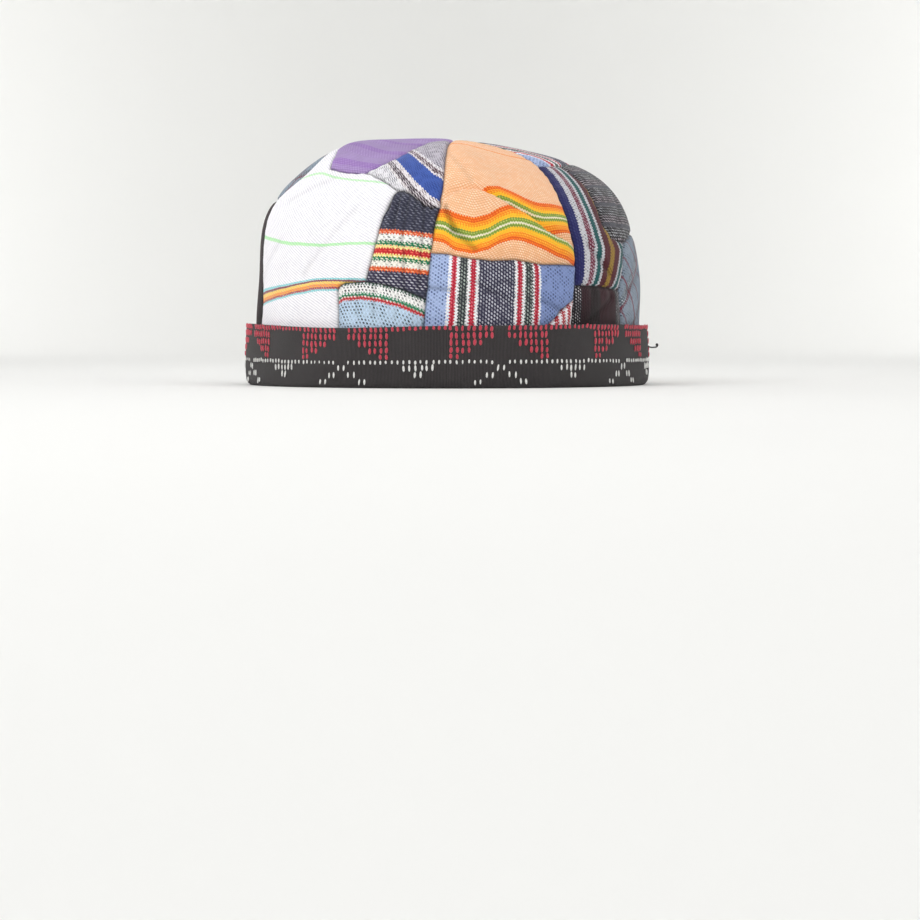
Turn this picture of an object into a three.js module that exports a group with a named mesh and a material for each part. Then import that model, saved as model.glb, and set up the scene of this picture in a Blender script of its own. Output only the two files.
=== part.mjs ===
import * as THREE from "three";

// Skullcap of cloth patches sewn in six gores, on a knitted band folded up as a cuff.
// Millimetres. Z is up, the front faces -Y, and +X is the right-hand side seen from the front.
// A place on the crown is given by two angles in degrees:
// round (0 at the front, + to the right) and up (0 at the rim, 90 at the top).

// Crown form
const CROWN_LEFT = 91.5;
const CROWN_RIGHT = 92.4;
const CROWN_DEPTH = 98;
const CROWN_HEIGHT = 106;
const SQUARE_LEFT = 3.8;
const SQUARE_RIGHT = 3.6;
const SQUARE_FRONT = 3.5;
const TOP_SHIFT = -2.5;
const LEAN = 4.3;
const CROWN_LIFT = 9;
const CROWN_SIDE_SHIFT = -1.2;
const PEAK_OUT = 3.2;
const PEAK_WIDE = 16;

// Cloth and seams
const CLOTH = 1.6;
const SEAM_GAP = 0.36;
const SEAM_DIP = 0.9;
const SEAM_DIP_WIDE = 4;
const GORE_DIP = 1;
const GORE_DIP_WIDE = 8;
const CELL = 8.2;
const TIP_UP = 89.1;
const TOP_ROWS = [80, 84, 86.5, 88];

// Cuff
const CUFF_SIDE = 92.9;
const CUFF_DEPTH = 98.2;
const CUFF_SEGMENTS = 72;
const CUFF_FOLD_UP = 4;
const CROWN_START = 24.3;

// Soft rises and dents of the crown: place, spread in degrees, and height outwards
const RISES = [
  { round: -88, up: 36, roundWide: 45, upWide: 14, out: 3.4 },
  { round: -74, up: 49, roundWide: 24, upWide: 9, out: -4.4 },
  { round: -54, up: 56, roundWide: 15, upWide: 9, out: 2.8 },
  { round: -34, up: 57, roundWide: 13, upWide: 10, out: -3 },
  { round: -2, up: 60, roundWide: 13, upWide: 14, out: 2.8 },
  { round: 42, up: 56, roundWide: 26, upWide: 12, out: -2.6 },
  { round: 84, up: 50, roundWide: 28, upWide: 14, out: 1.6 },
  { round: 128, up: 54, roundWide: 30, upWide: 13, out: -1.8 },
  { round: 186, up: 44, roundWide: 34, upWide: 15, out: 1.8 },
  { round: 238, up: 56, roundWide: 24, upWide: 12, out: -2.2 },
];

// Folds of the cloth: a line of [round, up], its width in mm and its height outwards
const FOLDS = [
  { line: [[2, 43.2], [14, 43.4], [23, 38.5], [31, 32.2]], wide: 3.6, out: -3 },
  { line: [[4, 39], [12, 38.6], [20, 34.6], [27, 31]], wide: 5, out: 2.2 },
  { line: [[16, 48.5], [26, 44.5], [33, 38]], wide: 4.5, out: 1.6 },
  { line: [[-29, 17.2], [-20, 17.4], [-11, 15.4]], wide: 5, out: 1.3 },
  { line: [[-21, 31], [-12, 30.4]], wide: 5, out: 0.8 },
  { line: [[44, 34], [50, 31], [54, 28]], wide: 4, out: 1 },
  { line: [[-66, 31], [-50, 27]], wide: 6, out: -0.9 },
];

// Gore seams: rows of [round, up] from the rim to the top
const SEAM_LEFT = [[-79, 0], [-78.5, 18], [-79.5, 30], [-80.5, 38], [-79.5, 50], [-79, 70], [-79, 90]];
const SEAM_FRONT = [
  [-6.8, 0], [-6.5, 12], [-6.2, 20], [-5.8, 29], [-5.2, 36], [-3.6, 42], [-3.7, 50], [-4, 60], [-4, 90],
];
const SEAM_RIGHT = [
  [38.2, 0], [38, 18], [38.8, 26], [39, 32], [37.9, 38], [37.6, 45], [40, 52], [43.5, 60], [45.5, 72], [46, 90],
];
const SEAM_BACK_RIGHT = [[97, 0], [98, 30], [96.5, 55], [98, 75], [98, 90]];
const SEAM_BACK = [[157, 0], [155.5, 30], [157, 55], [157, 90]];
const SEAM_BACK_LEFT = [[217, 0], [218.5, 30], [217, 55], [216, 90]];
const GORE_SEAMS = [SEAM_LEFT, SEAM_FRONT, SEAM_RIGHT, SEAM_BACK_RIGHT, SEAM_BACK, SEAM_BACK_LEFT];

// Colours sampled by eye: base colour and roughness of each cloth
const CLOTHS = {
  cloth_white: { color: 0xeceaf0, roughness: 0.9 },
  cloth_pale_blue: { color: 0xb9cbe2, roughness: 0.9 },
  cloth_bands: { color: 0x4b4a57, roughness: 0.9 },
  cloth_lilac: { color: 0xb5a5c9, roughness: 0.92 },
  cloth_blue_twill: { color: 0x8f97bd, roughness: 0.9 },
  cloth_orange: { color: 0xf0a45c, roughness: 0.88 },
  cloth_upright: { color: 0x7f8fb9, roughness: 0.9 },
  cloth_corner: { color: 0xc4666a, roughness: 0.9 },
  cloth_narrow: { color: 0x4a4658, roughness: 0.9 },
  cloth_maroon: { color: 0x3a2226, roughness: 0.92 },
  cloth_black_white: { color: 0x77777b, roughness: 0.9 },
  cloth_plaid: { color: 0xa3adbb, roughness: 0.9 },
  cuff_knit: { color: 0x312f31, roughness: 0.95 },
};

function radians(degrees) {
  return (degrees * Math.PI) / 180;
}

function bell(distance, wide) {
  return Math.exp(-((distance / wide) ** 2));
}

// Shortest turn from one round angle to another, in degrees
function turnBetween(from, to) {
  return ((((to - from + 180) % 360) + 360) % 360) - 180;
}

// Round angle of a seam at a height
function seamRound(seam, up) {
  let row = 1;
  while (row < seam.length - 1 && seam[row][1] < up) {
    row += 1;
  }
  const [roundLow, upLow] = seam[row - 1];
  const [roundHigh, upHigh] = seam[row];
  const share = (up - upLow) / (upHigh - upLow);
  return roundLow + share * (roundHigh - roundLow);
}

// Distance in mm from a place on the crown to a fold's line
function foldDistance(line, round, up) {
  const mm = radians(CROWN_DEPTH);
  const across = mm * Math.cos(radians(up));
  let nearest = Infinity;
  for (let row = 1; row < line.length; row += 1) {
    const [roundA, upA] = line[row - 1];
    const [roundB, upB] = line[row];
    const bx = turnBetween(roundA, roundB) * across;
    const by = (upB - upA) * mm;
    const px = turnBetween(roundA, round) * across;
    const py = (up - upA) * mm;
    const along = Math.min(1, Math.max(0, (px * bx + py * by) / (bx * bx + by * by)));
    nearest = Math.min(nearest, Math.hypot(px - along * bx, py - along * by));
  }
  return nearest;
}

// How far the crown stands out from its plain form
function standOut(round, up) {
  let out = PEAK_OUT * bell(90 - up, PEAK_WIDE);
  for (const rise of RISES) {
    out += rise.out * bell(turnBetween(rise.round, round), rise.roundWide) * bell(up - rise.up, rise.upWide);
  }
  for (const fold of FOLDS) {
    out += fold.out * bell(foldDistance(fold.line, round, up), fold.wide);
  }
  const across = CROWN_DEPTH * Math.cos(radians(up));
  for (const seam of GORE_SEAMS) {
    const distance = radians(turnBetween(seamRound(seam, up), round)) * across;
    out -= GORE_DIP * bell(distance, GORE_DIP_WIDE) * Math.cos(radians(up));
  }
  return out;
}

// Radius of an oval with its own left and right half widths
function ovalRadius(round, left, right, depth) {
  const side = Math.sin(radians(round));
  const front = Math.cos(radians(round));
  const half = side > 0 ? right : left;
  return 1 / Math.hypot(side / half, front / depth);
}

// Point of the crown's outer face
function crownPoint(round, up, out = 0) {
  const side = Math.sin(radians(round));
  const front = Math.cos(radians(round));
  const square = SQUARE_FRONT * front ** 2 + (side > 0 ? SQUARE_RIGHT : SQUARE_LEFT) * side ** 2;
  const flat = Math.cos(radians(up)) / ovalRadius(round, CROWN_LEFT, CROWN_RIGHT, CROWN_DEPTH);
  const tall = Math.sin(radians(up)) / CROWN_HEIGHT;
  const reach = (flat ** square + tall ** square) ** (-1 / square) + standOut(round, up) + out;
  const radius = reach * Math.cos(radians(up));
  const z = reach * Math.sin(radians(up));
  const x = radius * side + TOP_SHIFT * (z / CROWN_HEIGHT) ** 2;
  const lean = radians(LEAN);
  return new THREE.Vector3(
    x * Math.cos(lean) + z * Math.sin(lean) + CROWN_SIDE_SHIFT,
    -radius * front,
    z * Math.cos(lean) - x * Math.sin(lean) + CROWN_LIFT,
  );
}

// Direction out of the crown at a place
function outward(round, up) {
  const east = crownPoint(round + 1, up).sub(crownPoint(round - 1, up));
  const north = crownPoint(round, Math.min(90, up + 1)).sub(crownPoint(round, up - 1));
  return east.cross(north).normalize();
}

// Up angle at which the crown meets the band's seam
function startUp(round) {
  let low = 0;
  let high = 40;
  for (let step = 0; step < 24; step += 1) {
    const middle = (low + high) / 2;
    if (crownPoint(round, middle).z < CROWN_START) {
      low = middle;
    } else {
      high = middle;
    }
  }
  return (low + high) / 2;
}

// Lower edge of a patch that meets the band, from one round angle to another
function bandEdge(from, to) {
  const steps = Math.max(2, Math.round((to - from) / 5));
  const edge = [];
  for (let step = 0; step <= steps; step += 1) {
    const round = from + ((to - from) * step) / steps;
    edge.push([round, startUp(round)]);
  }
  return edge;
}

// Part of a gore seam between two heights, with closer rows near the top, where the gores narrow
function seamPart(seam, from, to, turn = 0) {
  const heights = [...seam.map(([, up]) => up), ...TOP_ROWS].sort((a, b) => a - b);
  const inside = heights.filter((up) => up > from + 1.5 && up < to - 0.5);
  return [from, ...inside, to].map((up) => [seamRound(seam, up) + turn, up]);
}

// Part of a gore seam from the band up to a height
function seamFromBand(seam, to, turn = 0) {
  let start = startUp(seam[0][0]);
  for (let step = 0; step < 4; step += 1) {
    start = startUp(seamRound(seam, start));
  }
  return seamPart(seam, start, to, turn);
}

// Moves a patch's outline inwards by half the seam gap, on its own sides only
function drawIn(sides, meetsBand) {
  const ring = [];
  const starts = [];
  sides.forEach((side, index) => {
    starts.push(ring.length);
    side.slice(0, -1).forEach((place) => {
      ring.push({ place, gap: index === 0 && meetsBand ? 0 : SEAM_GAP / 2 });
    });
  });
  const moved = ring.map(({ place, gap }, index) => {
    const before = ring[(index + ring.length - 1) % ring.length];
    const after = ring[(index + 1) % ring.length];
    const tall = crownPoint(place[0], place[1] + 0.5).distanceTo(crownPoint(place[0], place[1] - 0.5));
    const wide = crownPoint(place[0] + 0.5, place[1]).distanceTo(crownPoint(place[0] - 0.5, place[1]));
    const normal = (from, to) => {
      const x = (to[0] - from[0]) * wide;
      const y = (to[1] - from[1]) * tall;
      const length = Math.hypot(x, y);
      return [-y / length, x / length];
    };
    const [ax, ay] = normal(before.place, place);
    const [bx, by] = normal(place, after.place);
    const cross = ax * by - ay * bx;
    let moveX = (ax + bx) * 0.5 * gap;
    let moveY = (ay + by) * 0.5 * gap;
    if (Math.abs(cross) > 0.15) {
      moveX = (before.gap * by - gap * ay) / cross;
      moveY = (gap * ax - before.gap * bx) / cross;
    }
    return [place[0] + moveX / wide, place[1] + moveY / tall];
  });
  moved.push(moved[0]);
  return sides.map((side, index) => moved.slice(starts[index], starts[index] + side.length));
}

// Lengths in mm of the stretches of a side
function stretchLengths(side) {
  const points = side.map(([round, up]) => crownPoint(round, up));
  return points.slice(1).map((point, index) => point.distanceTo(points[index]));
}

// Number of cells along a side
function cellsAlong(side) {
  const total = stretchLengths(side).reduce((sum, length) => sum + length, 0);
  return Math.max(side.length - 1, Math.ceil(total / CELL));
}

// Places along a side, its corners kept
function divide(side, cells) {
  const lengths = stretchLengths(side);
  const counts = lengths.map(() => 1);
  for (let spare = cells - counts.length; spare > 0; spare -= 1) {
    let longest = 0;
    lengths.forEach((length, index) => {
      if (length / counts[index] > lengths[longest] / counts[longest]) {
        longest = index;
      }
    });
    counts[longest] += 1;
  }
  const places = [side[0]];
  counts.forEach((count, index) => {
    const [roundA, upA] = side[index];
    const [roundB, upB] = side[index + 1];
    for (let step = 1; step <= count; step += 1) {
      const share = step / count;
      places.push([roundA + share * (roundB - roundA), upA + share * (upB - upA)]);
    }
  });
  return places;
}

// Grid of places that fills the space between four sides
function fillSides(bottom, right, top, left) {
  const across = Math.max(cellsAlong(bottom), cellsAlong(top));
  const tall = Math.max(cellsAlong(left), cellsAlong(right));
  const low = divide(bottom, across);
  const high = divide(top, across);
  const near = divide(left, tall);
  const far = divide(right, tall);
  const grid = [];
  for (let row = 0; row <= tall; row += 1) {
    const v = row / tall;
    const line = [];
    for (let column = 0; column <= across; column += 1) {
      const u = column / across;
      line.push([0, 1].map((axis) => (
        (1 - v) * low[column][axis] + v * high[column][axis]
        + (1 - u) * near[row][axis] + u * far[row][axis]
        - (1 - u) * (1 - v) * low[0][axis] - u * (1 - v) * low[across][axis]
        - (1 - u) * v * high[0][axis] - u * v * high[across][axis]
      )));
    }
    grid.push(line);
  }
  return grid;
}

// Distance of each grid place to the nearest sewn side, in mm
function sewnDistance(points, row, column, meetsBand) {
  const rows = points.length - 1;
  const columns = points[0].length - 1;
  const here = points[row][column];
  const edges = [points[row][0], points[row][columns], points[rows][column]];
  if (!meetsBand) {
    edges.push(points[0][column]);
  }
  return Math.min(...edges.map((edge) => edge.distanceTo(here)));
}

function meshFrom(name, slot, positions, faces) {
  const geometry = new THREE.BufferGeometry();
  geometry.setAttribute("position", new THREE.Float32BufferAttribute(positions, 3));
  geometry.setIndex(faces);
  geometry.computeVertexNormals();
  const material = new THREE.MeshStandardMaterial({ ...CLOTHS[slot], metalness: 0 });
  material.name = slot;
  const mesh = new THREE.Mesh(geometry, material);
  mesh.name = name;
  return mesh;
}

// One cloth patch: an outer and an inner face joined along the four sides
function patch({ name, slot, bottom, right, top, left, meetsBand = false }) {
  const ring = [bottom, right, [...top].reverse(), [...left].reverse()];
  const [low, far, high, near] = drawIn(ring, meetsBand);
  const grid = fillSides(low, far, [...high].reverse(), [...near].reverse());
  const plain = grid.map((line) => line.map(([round, up]) => crownPoint(round, up)));
  const outer = grid.map((line, row) => line.map(([round, up], column) => (
    crownPoint(round, up, -SEAM_DIP * bell(sewnDistance(plain, row, column, meetsBand), SEAM_DIP_WIDE))
  )));
  const inner = outer.map((line, row) => line.map((point, column) => (
    point.clone().addScaledVector(outward(...grid[row][column]), -CLOTH)
  )));
  if (meetsBand) {
    [...outer[0], ...inner[0]].forEach((point) => {
      point.z = CROWN_START;
    });
  }
  const rows = grid.length;
  const columns = grid[0].length;
  const positions = [...outer.flat(), ...inner.flat()].flatMap((point) => point.toArray());
  const faces = [];
  const quad = (a, b, c, d) => faces.push(a, b, c, a, c, d);
  const out = (row, column) => row * columns + column;
  const back = (row, column) => rows * columns + row * columns + column;
  for (let row = 0; row < rows - 1; row += 1) {
    for (let column = 0; column < columns - 1; column += 1) {
      quad(out(row, column), out(row, column + 1), out(row + 1, column + 1), out(row + 1, column));
      quad(back(row, column), back(row + 1, column), back(row + 1, column + 1), back(row, column + 1));
    }
    const last = columns - 1;
    quad(out(row, 0), out(row + 1, 0), back(row + 1, 0), back(row, 0));
    quad(out(row, last), back(row, last), back(row + 1, last), out(row + 1, last));
  }
  for (let column = 0; column < columns - 1; column += 1) {
    const last = rows - 1;
    quad(out(0, column), back(0, column), back(0, column + 1), out(0, column + 1));
    quad(out(last, column), out(last, column + 1), back(last, column + 1), back(last, column));
  }
  return meshFrom(name, slot, positions, faces);
}

// Section of the cuff: distance out from the band's oval, and height.
// It runs from the band's seam down inside, under the fold and up the outer leaf.
const CUFF_SECTION = [
  { out: -1.9, up: 24 },
  { out: -2.1, up: 16 },
  { out: -2.2, up: 8 },
  { out: -2.1, up: 2.4 },
  { out: -1.5, up: 0.8 },
  { out: -0.3, up: 0 },
  { out: 2.6, up: 0 },
  { out: 3.4, up: 0.7 },
  { out: 3.9, up: 2.4 },
  { out: 4.2, up: 8 },
  { out: 4.2, up: 15 },
  { out: 3.8, up: 22 },
  { out: 3.5, up: 26.4 },
  { out: 2.9, up: 28.4 },
  { out: 1.9, up: 29 },
  { out: 0.9, up: 28.3 },
  { out: 0.7, up: 26.6 },
  { out: 1, up: 21 },
  { out: 1.3, up: 12 },
  { out: 1.1, up: 4.4 },
  { out: 0.6, up: 2.6 },
  { out: 0.3, up: 4.4 },
  { out: 0.1, up: 12 },
  { out: 0.1, up: 24 },
];

// Height of the cuff's upper edge above or below its section, round the cap
const CUFF_WAVE = [
  { round: -82, wide: 24, up: 0.9 },
  { round: -30, wide: 20, up: -1 },
  { round: 48, wide: 26, up: 0.6 },
  { round: 140, wide: 30, up: -0.6 },
  { round: 205, wide: 26, up: 0.5 },
];

function cuffRise(round, up) {
  const share = Math.max(0, (up - CUFF_FOLD_UP) / (CROWN_START - CUFF_FOLD_UP));
  let rise = 0;
  for (const wave of CUFF_WAVE) {
    rise += wave.up * bell(turnBetween(wave.round, round), wave.wide);
  }
  return rise * Math.min(1, share);
}

// The knitted band, folded up once: one body with a hollow fold
function cuff() {
  const positions = [];
  const faces = [];
  const count = CUFF_SECTION.length;
  for (let step = 0; step < CUFF_SEGMENTS; step += 1) {
    const round = (360 * step) / CUFF_SEGMENTS;
    const oval = ovalRadius(round, CUFF_SIDE, CUFF_SIDE, CUFF_DEPTH);
    CUFF_SECTION.forEach((row, index) => {
      const outerLeaf = index > 5 && index < 21;
      const radius = oval + row.out;
      const z = row.up + (outerLeaf ? cuffRise(round, row.up) : 0);
      positions.push(radius * Math.sin(radians(round)), -radius * Math.cos(radians(round)), z);
    });
    const next = ((step + 1) % CUFF_SEGMENTS) * count;
    for (let index = 0; index < count; index += 1) {
      const here = step * count;
      const after = (index + 1) % count;
      faces.push(here + index, next + after, here + after, here + index, next + index, next + after);
    }
  }
  return meshFrom("cuff", "cuff_knit", positions, faces);
}

// Seams inside the gores: rows of [round, up]
const WHITE_PALE_BLUE = [[-31.6, startUp(-31.6)], [-32.2, 13.8], [-32.7, 18.4]];
const PALE_BLUE_TOP = [[-32.7, 18.4], [-30.2, 20.2], [-24, 20.8]];
const PALE_BLUE_BANDS = [[-24, 20.8], [-19.3, 20.5], [-13.5, 19.5], [-9.2, 18.4], [seamRound(SEAM_FRONT, 17.4), 17.4]];
const WHITE_BANDS = [[-24, 20.8], [-22.7, 26], [-21.6, 32], [-20.8, 36], [-19.3, 40], [-18, 43]];
const BANDS_TOP = [[-18, 43], [-14, 42.6], [-9, 39.8], [seamRound(SEAM_FRONT, 39.3), 39.3]];
const WHITE_BLUE = [[-33, 48.8], [-30, 48.1], [-24, 45.8], [-18, 43]];
const WHITE_LILAC = [[seamRound(SEAM_LEFT, 64), 64], [-64, 59], [-55, 54], [-50.7, 49.3], [-42, 48.6], [-33, 48.8]];
const LILAC_BLUE = [[-33, 48.8], [-25.6, 55.1], [-21, 63], [-18, 71]];
const LILAC_BLUE_TOP = [[-18, 71], [seamRound(SEAM_FRONT, 72), 72]];
const ORANGE_BOTTOM = [
  [seamRound(SEAM_FRONT, 28.8), 28.8], [-0.7, 28.8], [5.3, 28.2], [11.4, 27.8], [18.2, 28.5],
  [26.6, 28], [34, 28.4], [seamRound(SEAM_RIGHT, 29), 29],
];
const CORNER_EDGE = [[25.6, startUp(25.6)], [29.6, 14], [33.2, 17.3], [seamRound(SEAM_RIGHT, 20.8), 20.8]];
const MAROON_TOP = [[seamRound(SEAM_RIGHT, 24.3), 24.3], [43.4, 24.5], [51, 24.6], [59.6, 24.4]];
const MAROON_PLAID = [[60.8, startUp(60.8)], [60.6, 19.3], [59.6, 24.4]];
const NARROW_PLAID = [[59.6, 24.4], [62.5, 28.5], [66.5, 36]];
const NARROW_BLACK = [[66.5, 36], [58, 37], [55, 40.2], [55.5, 43.5], [57.5, 50], [58.5, 60]];
const PLAID_TOP = [[66.5, 36], [80, 38.6], [seamRound(SEAM_BACK_RIGHT, 40), 40]];
const NARROW_TOP = [[seamRound(SEAM_RIGHT, 60), 60], [58.5, 60]];
const BLACK_TOP = [[58.5, 60], [76, 61.5], [seamRound(SEAM_BACK_RIGHT, 60), 60]];
const BACK_RIGHT_SPLIT = [[128, startUp(128)], [126.5, 20], [129, 34]];
const BACK_RIGHT_LEFT_TOP = [[seamRound(SEAM_BACK_RIGHT, 36), 36], [112, 35.6], [129, 34]];
const BACK_RIGHT_RIGHT_TOP = [[129, 34], [143, 31.5], [seamRound(SEAM_BACK, 31), 31]];
const BACK_LOW_TOP = [[seamRound(SEAM_BACK, 27), 27], [175, 25.6], [198, 26.5], [seamRound(SEAM_BACK_LEFT, 28), 28]];
const BACK_MIDDLE_TOP = [[seamRound(SEAM_BACK, 52), 52], [176, 54], [198, 53], [seamRound(SEAM_BACK_LEFT, 51), 51]];
const BACK_LEFT_SPLIT = [[249, startUp(249)], [250, 24], [247, 42]];
const BACK_LEFT_LEFT_TOP = [[seamRound(SEAM_BACK_LEFT, 40), 40], [232, 41], [247, 42]];
const BLACK_LEFT_TOP = [[247, 42], [264, 41], [seamRound(SEAM_LEFT, 40) + 360, 40]];
const FULL_TURN = 360;

// Short upper edge of a gore, next to the top
function tip(seamA, seamB, turn = 0) {
  return [[seamRound(seamA, TIP_UP), TIP_UP], [seamRound(seamB, TIP_UP) + turn, TIP_UP]];
}

// Joins lines that follow on each other
function chain(...lines) {
  return lines.reduce((joined, line) => [...joined, ...line.slice(1)]);
}

function backwards(line) {
  return [...line].reverse();
}

// Patches of the front left gore
function frontLeft() {
  const white = {
    name: "front_left_white",
    slot: "cloth_white",
    meetsBand: true,
    bottom: bandEdge(seamFromBand(SEAM_LEFT, 30)[0][0], -31.6),
    right: chain(WHITE_PALE_BLUE, PALE_BLUE_TOP, WHITE_BANDS),
    top: chain(WHITE_LILAC, WHITE_BLUE),
    left: seamFromBand(SEAM_LEFT, 64),
  };
  const paleBlue = {
    name: "front_left_pale_blue",
    slot: "cloth_pale_blue",
    meetsBand: true,
    bottom: bandEdge(-31.6, seamFromBand(SEAM_FRONT, 30)[0][0]),
    right: seamFromBand(SEAM_FRONT, 17.4),
    top: chain(PALE_BLUE_TOP, PALE_BLUE_BANDS),
    left: WHITE_PALE_BLUE,
  };
  const bands = {
    name: "front_left_bands",
    slot: "cloth_bands",
    bottom: PALE_BLUE_BANDS,
    right: seamPart(SEAM_FRONT, 17.4, 39.3),
    top: BANDS_TOP,
    left: WHITE_BANDS,
  };
  const blueTwill = {
    name: "front_left_blue_twill",
    slot: "cloth_blue_twill",
    bottom: chain(WHITE_BLUE, BANDS_TOP),
    right: seamPart(SEAM_FRONT, 39.3, 72),
    top: LILAC_BLUE_TOP,
    left: LILAC_BLUE,
  };
  const lilac = {
    name: "front_left_lilac",
    slot: "cloth_lilac",
    bottom: WHITE_LILAC.slice(3),
    right: chain(LILAC_BLUE, LILAC_BLUE_TOP, seamPart(SEAM_FRONT, 72, TIP_UP)),
    top: tip(SEAM_LEFT, SEAM_FRONT),
    left: chain(backwards(WHITE_LILAC.slice(0, 4)), seamPart(SEAM_LEFT, 64, TIP_UP)),
  };
  return [white, paleBlue, bands, blueTwill, lilac];
}

// Patches of the front right gore
function frontRight() {
  const orange = {
    name: "front_right_orange",
    slot: "cloth_orange",
    bottom: ORANGE_BOTTOM,
    right: seamPart(SEAM_RIGHT, 29, TIP_UP),
    top: tip(SEAM_FRONT, SEAM_RIGHT),
    left: seamPart(SEAM_FRONT, 28.8, TIP_UP),
  };
  const upright = {
    name: "front_right_upright",
    slot: "cloth_upright",
    meetsBand: true,
    bottom: bandEdge(seamFromBand(SEAM_FRONT, 30)[0][0], 25.6),
    right: chain(CORNER_EDGE, seamPart(SEAM_RIGHT, 20.8, 29)),
    top: ORANGE_BOTTOM,
    left: seamFromBand(SEAM_FRONT, 28.8),
  };
  const corner = {
    name: "front_right_corner",
    slot: "cloth_corner",
    meetsBand: true,
    bottom: bandEdge(25.6, seamFromBand(SEAM_RIGHT, 30)[0][0]),
    right: seamFromBand(SEAM_RIGHT, 20.8),
    top: CORNER_EDGE.slice(1),
    left: CORNER_EDGE.slice(0, 2),
  };
  return [orange, upright, corner];
}

// Patches of the right gore
function rightSide() {
  const maroon = {
    name: "right_maroon",
    slot: "cloth_maroon",
    meetsBand: true,
    bottom: bandEdge(seamFromBand(SEAM_RIGHT, 30)[0][0], 60.8),
    right: MAROON_PLAID,
    top: MAROON_TOP,
    left: seamFromBand(SEAM_RIGHT, 24.3),
  };
  const narrow = {
    name: "right_narrow_stripes",
    slot: "cloth_narrow",
    bottom: MAROON_TOP,
    right: chain(NARROW_PLAID, NARROW_BLACK),
    top: NARROW_TOP,
    left: seamPart(SEAM_RIGHT, 24.3, 60),
  };
  const plaid = {
    name: "right_plaid",
    slot: "cloth_plaid",
    meetsBand: true,
    bottom: bandEdge(60.8, seamFromBand(SEAM_BACK_RIGHT, 30)[0][0]),
    right: seamFromBand(SEAM_BACK_RIGHT, 40),
    top: PLAID_TOP,
    left: chain(MAROON_PLAID, NARROW_PLAID),
  };
  const blackWhite = {
    name: "right_black_white",
    slot: "cloth_black_white",
    bottom: PLAID_TOP,
    right: seamPart(SEAM_BACK_RIGHT, 40, 60),
    top: BLACK_TOP,
    left: NARROW_BLACK,
  };
  const top = {
    name: "right_top",
    slot: "cloth_upright",
    bottom: chain(NARROW_TOP, BLACK_TOP),
    right: seamPart(SEAM_BACK_RIGHT, 60, TIP_UP),
    top: tip(SEAM_RIGHT, SEAM_BACK_RIGHT),
    left: seamPart(SEAM_RIGHT, 60, TIP_UP),
  };
  return [maroon, narrow, plaid, blackWhite, top];
}

// Patches of the back right gore
function backRight() {
  const left = {
    name: "back_right_bands",
    slot: "cloth_bands",
    meetsBand: true,
    bottom: bandEdge(seamFromBand(SEAM_BACK_RIGHT, 30)[0][0], 128),
    right: BACK_RIGHT_SPLIT,
    top: BACK_RIGHT_LEFT_TOP,
    left: seamFromBand(SEAM_BACK_RIGHT, 36),
  };
  const right = {
    name: "back_right_white",
    slot: "cloth_white",
    meetsBand: true,
    bottom: bandEdge(128, seamFromBand(SEAM_BACK, 30)[0][0]),
    right: seamFromBand(SEAM_BACK, 31),
    top: BACK_RIGHT_RIGHT_TOP,
    left: BACK_RIGHT_SPLIT,
  };
  const top = {
    name: "back_right_orange",
    slot: "cloth_orange",
    bottom: chain(BACK_RIGHT_LEFT_TOP, BACK_RIGHT_RIGHT_TOP),
    right: seamPart(SEAM_BACK, 31, TIP_UP),
    top: tip(SEAM_BACK_RIGHT, SEAM_BACK),
    left: seamPart(SEAM_BACK_RIGHT, 36, TIP_UP),
  };
  return [left, right, top];
}

// Patches of the back gore
function back() {
  const low = {
    name: "back_low_upright",
    slot: "cloth_upright",
    meetsBand: true,
    bottom: bandEdge(seamFromBand(SEAM_BACK, 30)[0][0], seamFromBand(SEAM_BACK_LEFT, 30)[0][0]),
    right: seamFromBand(SEAM_BACK_LEFT, 28),
    top: BACK_LOW_TOP,
    left: seamFromBand(SEAM_BACK, 27),
  };
  const middle = {
    name: "back_middle_black_white",
    slot: "cloth_black_white",
    bottom: BACK_LOW_TOP,
    right: seamPart(SEAM_BACK_LEFT, 28, 51),
    top: BACK_MIDDLE_TOP,
    left: seamPart(SEAM_BACK, 27, 52),
  };
  const top = {
    name: "back_top_lilac",
    slot: "cloth_lilac",
    bottom: BACK_MIDDLE_TOP,
    right: seamPart(SEAM_BACK_LEFT, 51, TIP_UP),
    top: tip(SEAM_BACK, SEAM_BACK_LEFT),
    left: seamPart(SEAM_BACK, 52, TIP_UP),
  };
  return [low, middle, top];
}

// Patches of the back left gore
function backLeft() {
  const stripes = {
    name: "back_left_narrow_stripes",
    slot: "cloth_narrow",
    meetsBand: true,
    bottom: bandEdge(seamFromBand(SEAM_BACK_LEFT, 30)[0][0], 249),
    right: BACK_LEFT_SPLIT,
    top: BACK_LEFT_LEFT_TOP,
    left: seamFromBand(SEAM_BACK_LEFT, 40),
  };
  const dark = {
    name: "back_left_maroon",
    slot: "cloth_maroon",
    meetsBand: true,
    bottom: bandEdge(249, seamFromBand(SEAM_LEFT, 30, FULL_TURN)[0][0]),
    right: seamFromBand(SEAM_LEFT, 40, FULL_TURN),
    top: BLACK_LEFT_TOP,
    left: BACK_LEFT_SPLIT,
  };
  const top = {
    name: "back_left_plaid",
    slot: "cloth_plaid",
    bottom: chain(BACK_LEFT_LEFT_TOP, BLACK_LEFT_TOP),
    right: seamPart(SEAM_LEFT, 40, TIP_UP, FULL_TURN),
    top: tip(SEAM_BACK_LEFT, SEAM_LEFT, FULL_TURN),
    left: seamPart(SEAM_BACK_LEFT, 40, TIP_UP),
  };
  return [stripes, dark, top];
}

function skullcap() {
  const cap = new THREE.Group();
  cap.name = "skullcap";
  cap.add(cuff());
  const gores = [frontLeft(), frontRight(), rightSide(), backRight(), back(), backLeft()];
  gores.flat().forEach((table) => cap.add(patch(table)));
  return cap;
}

export default skullcap();
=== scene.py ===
"""Builds the looks of a patchwork skullcap on its CAD frame, as a small add-on.

Lengths in the tables are millimetres and angles are degrees. A place on the crown is
given by two angles: round (0 at the front, + to the right) and up (0 at the rim, 90 at
the top).
"""

import math

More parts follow.
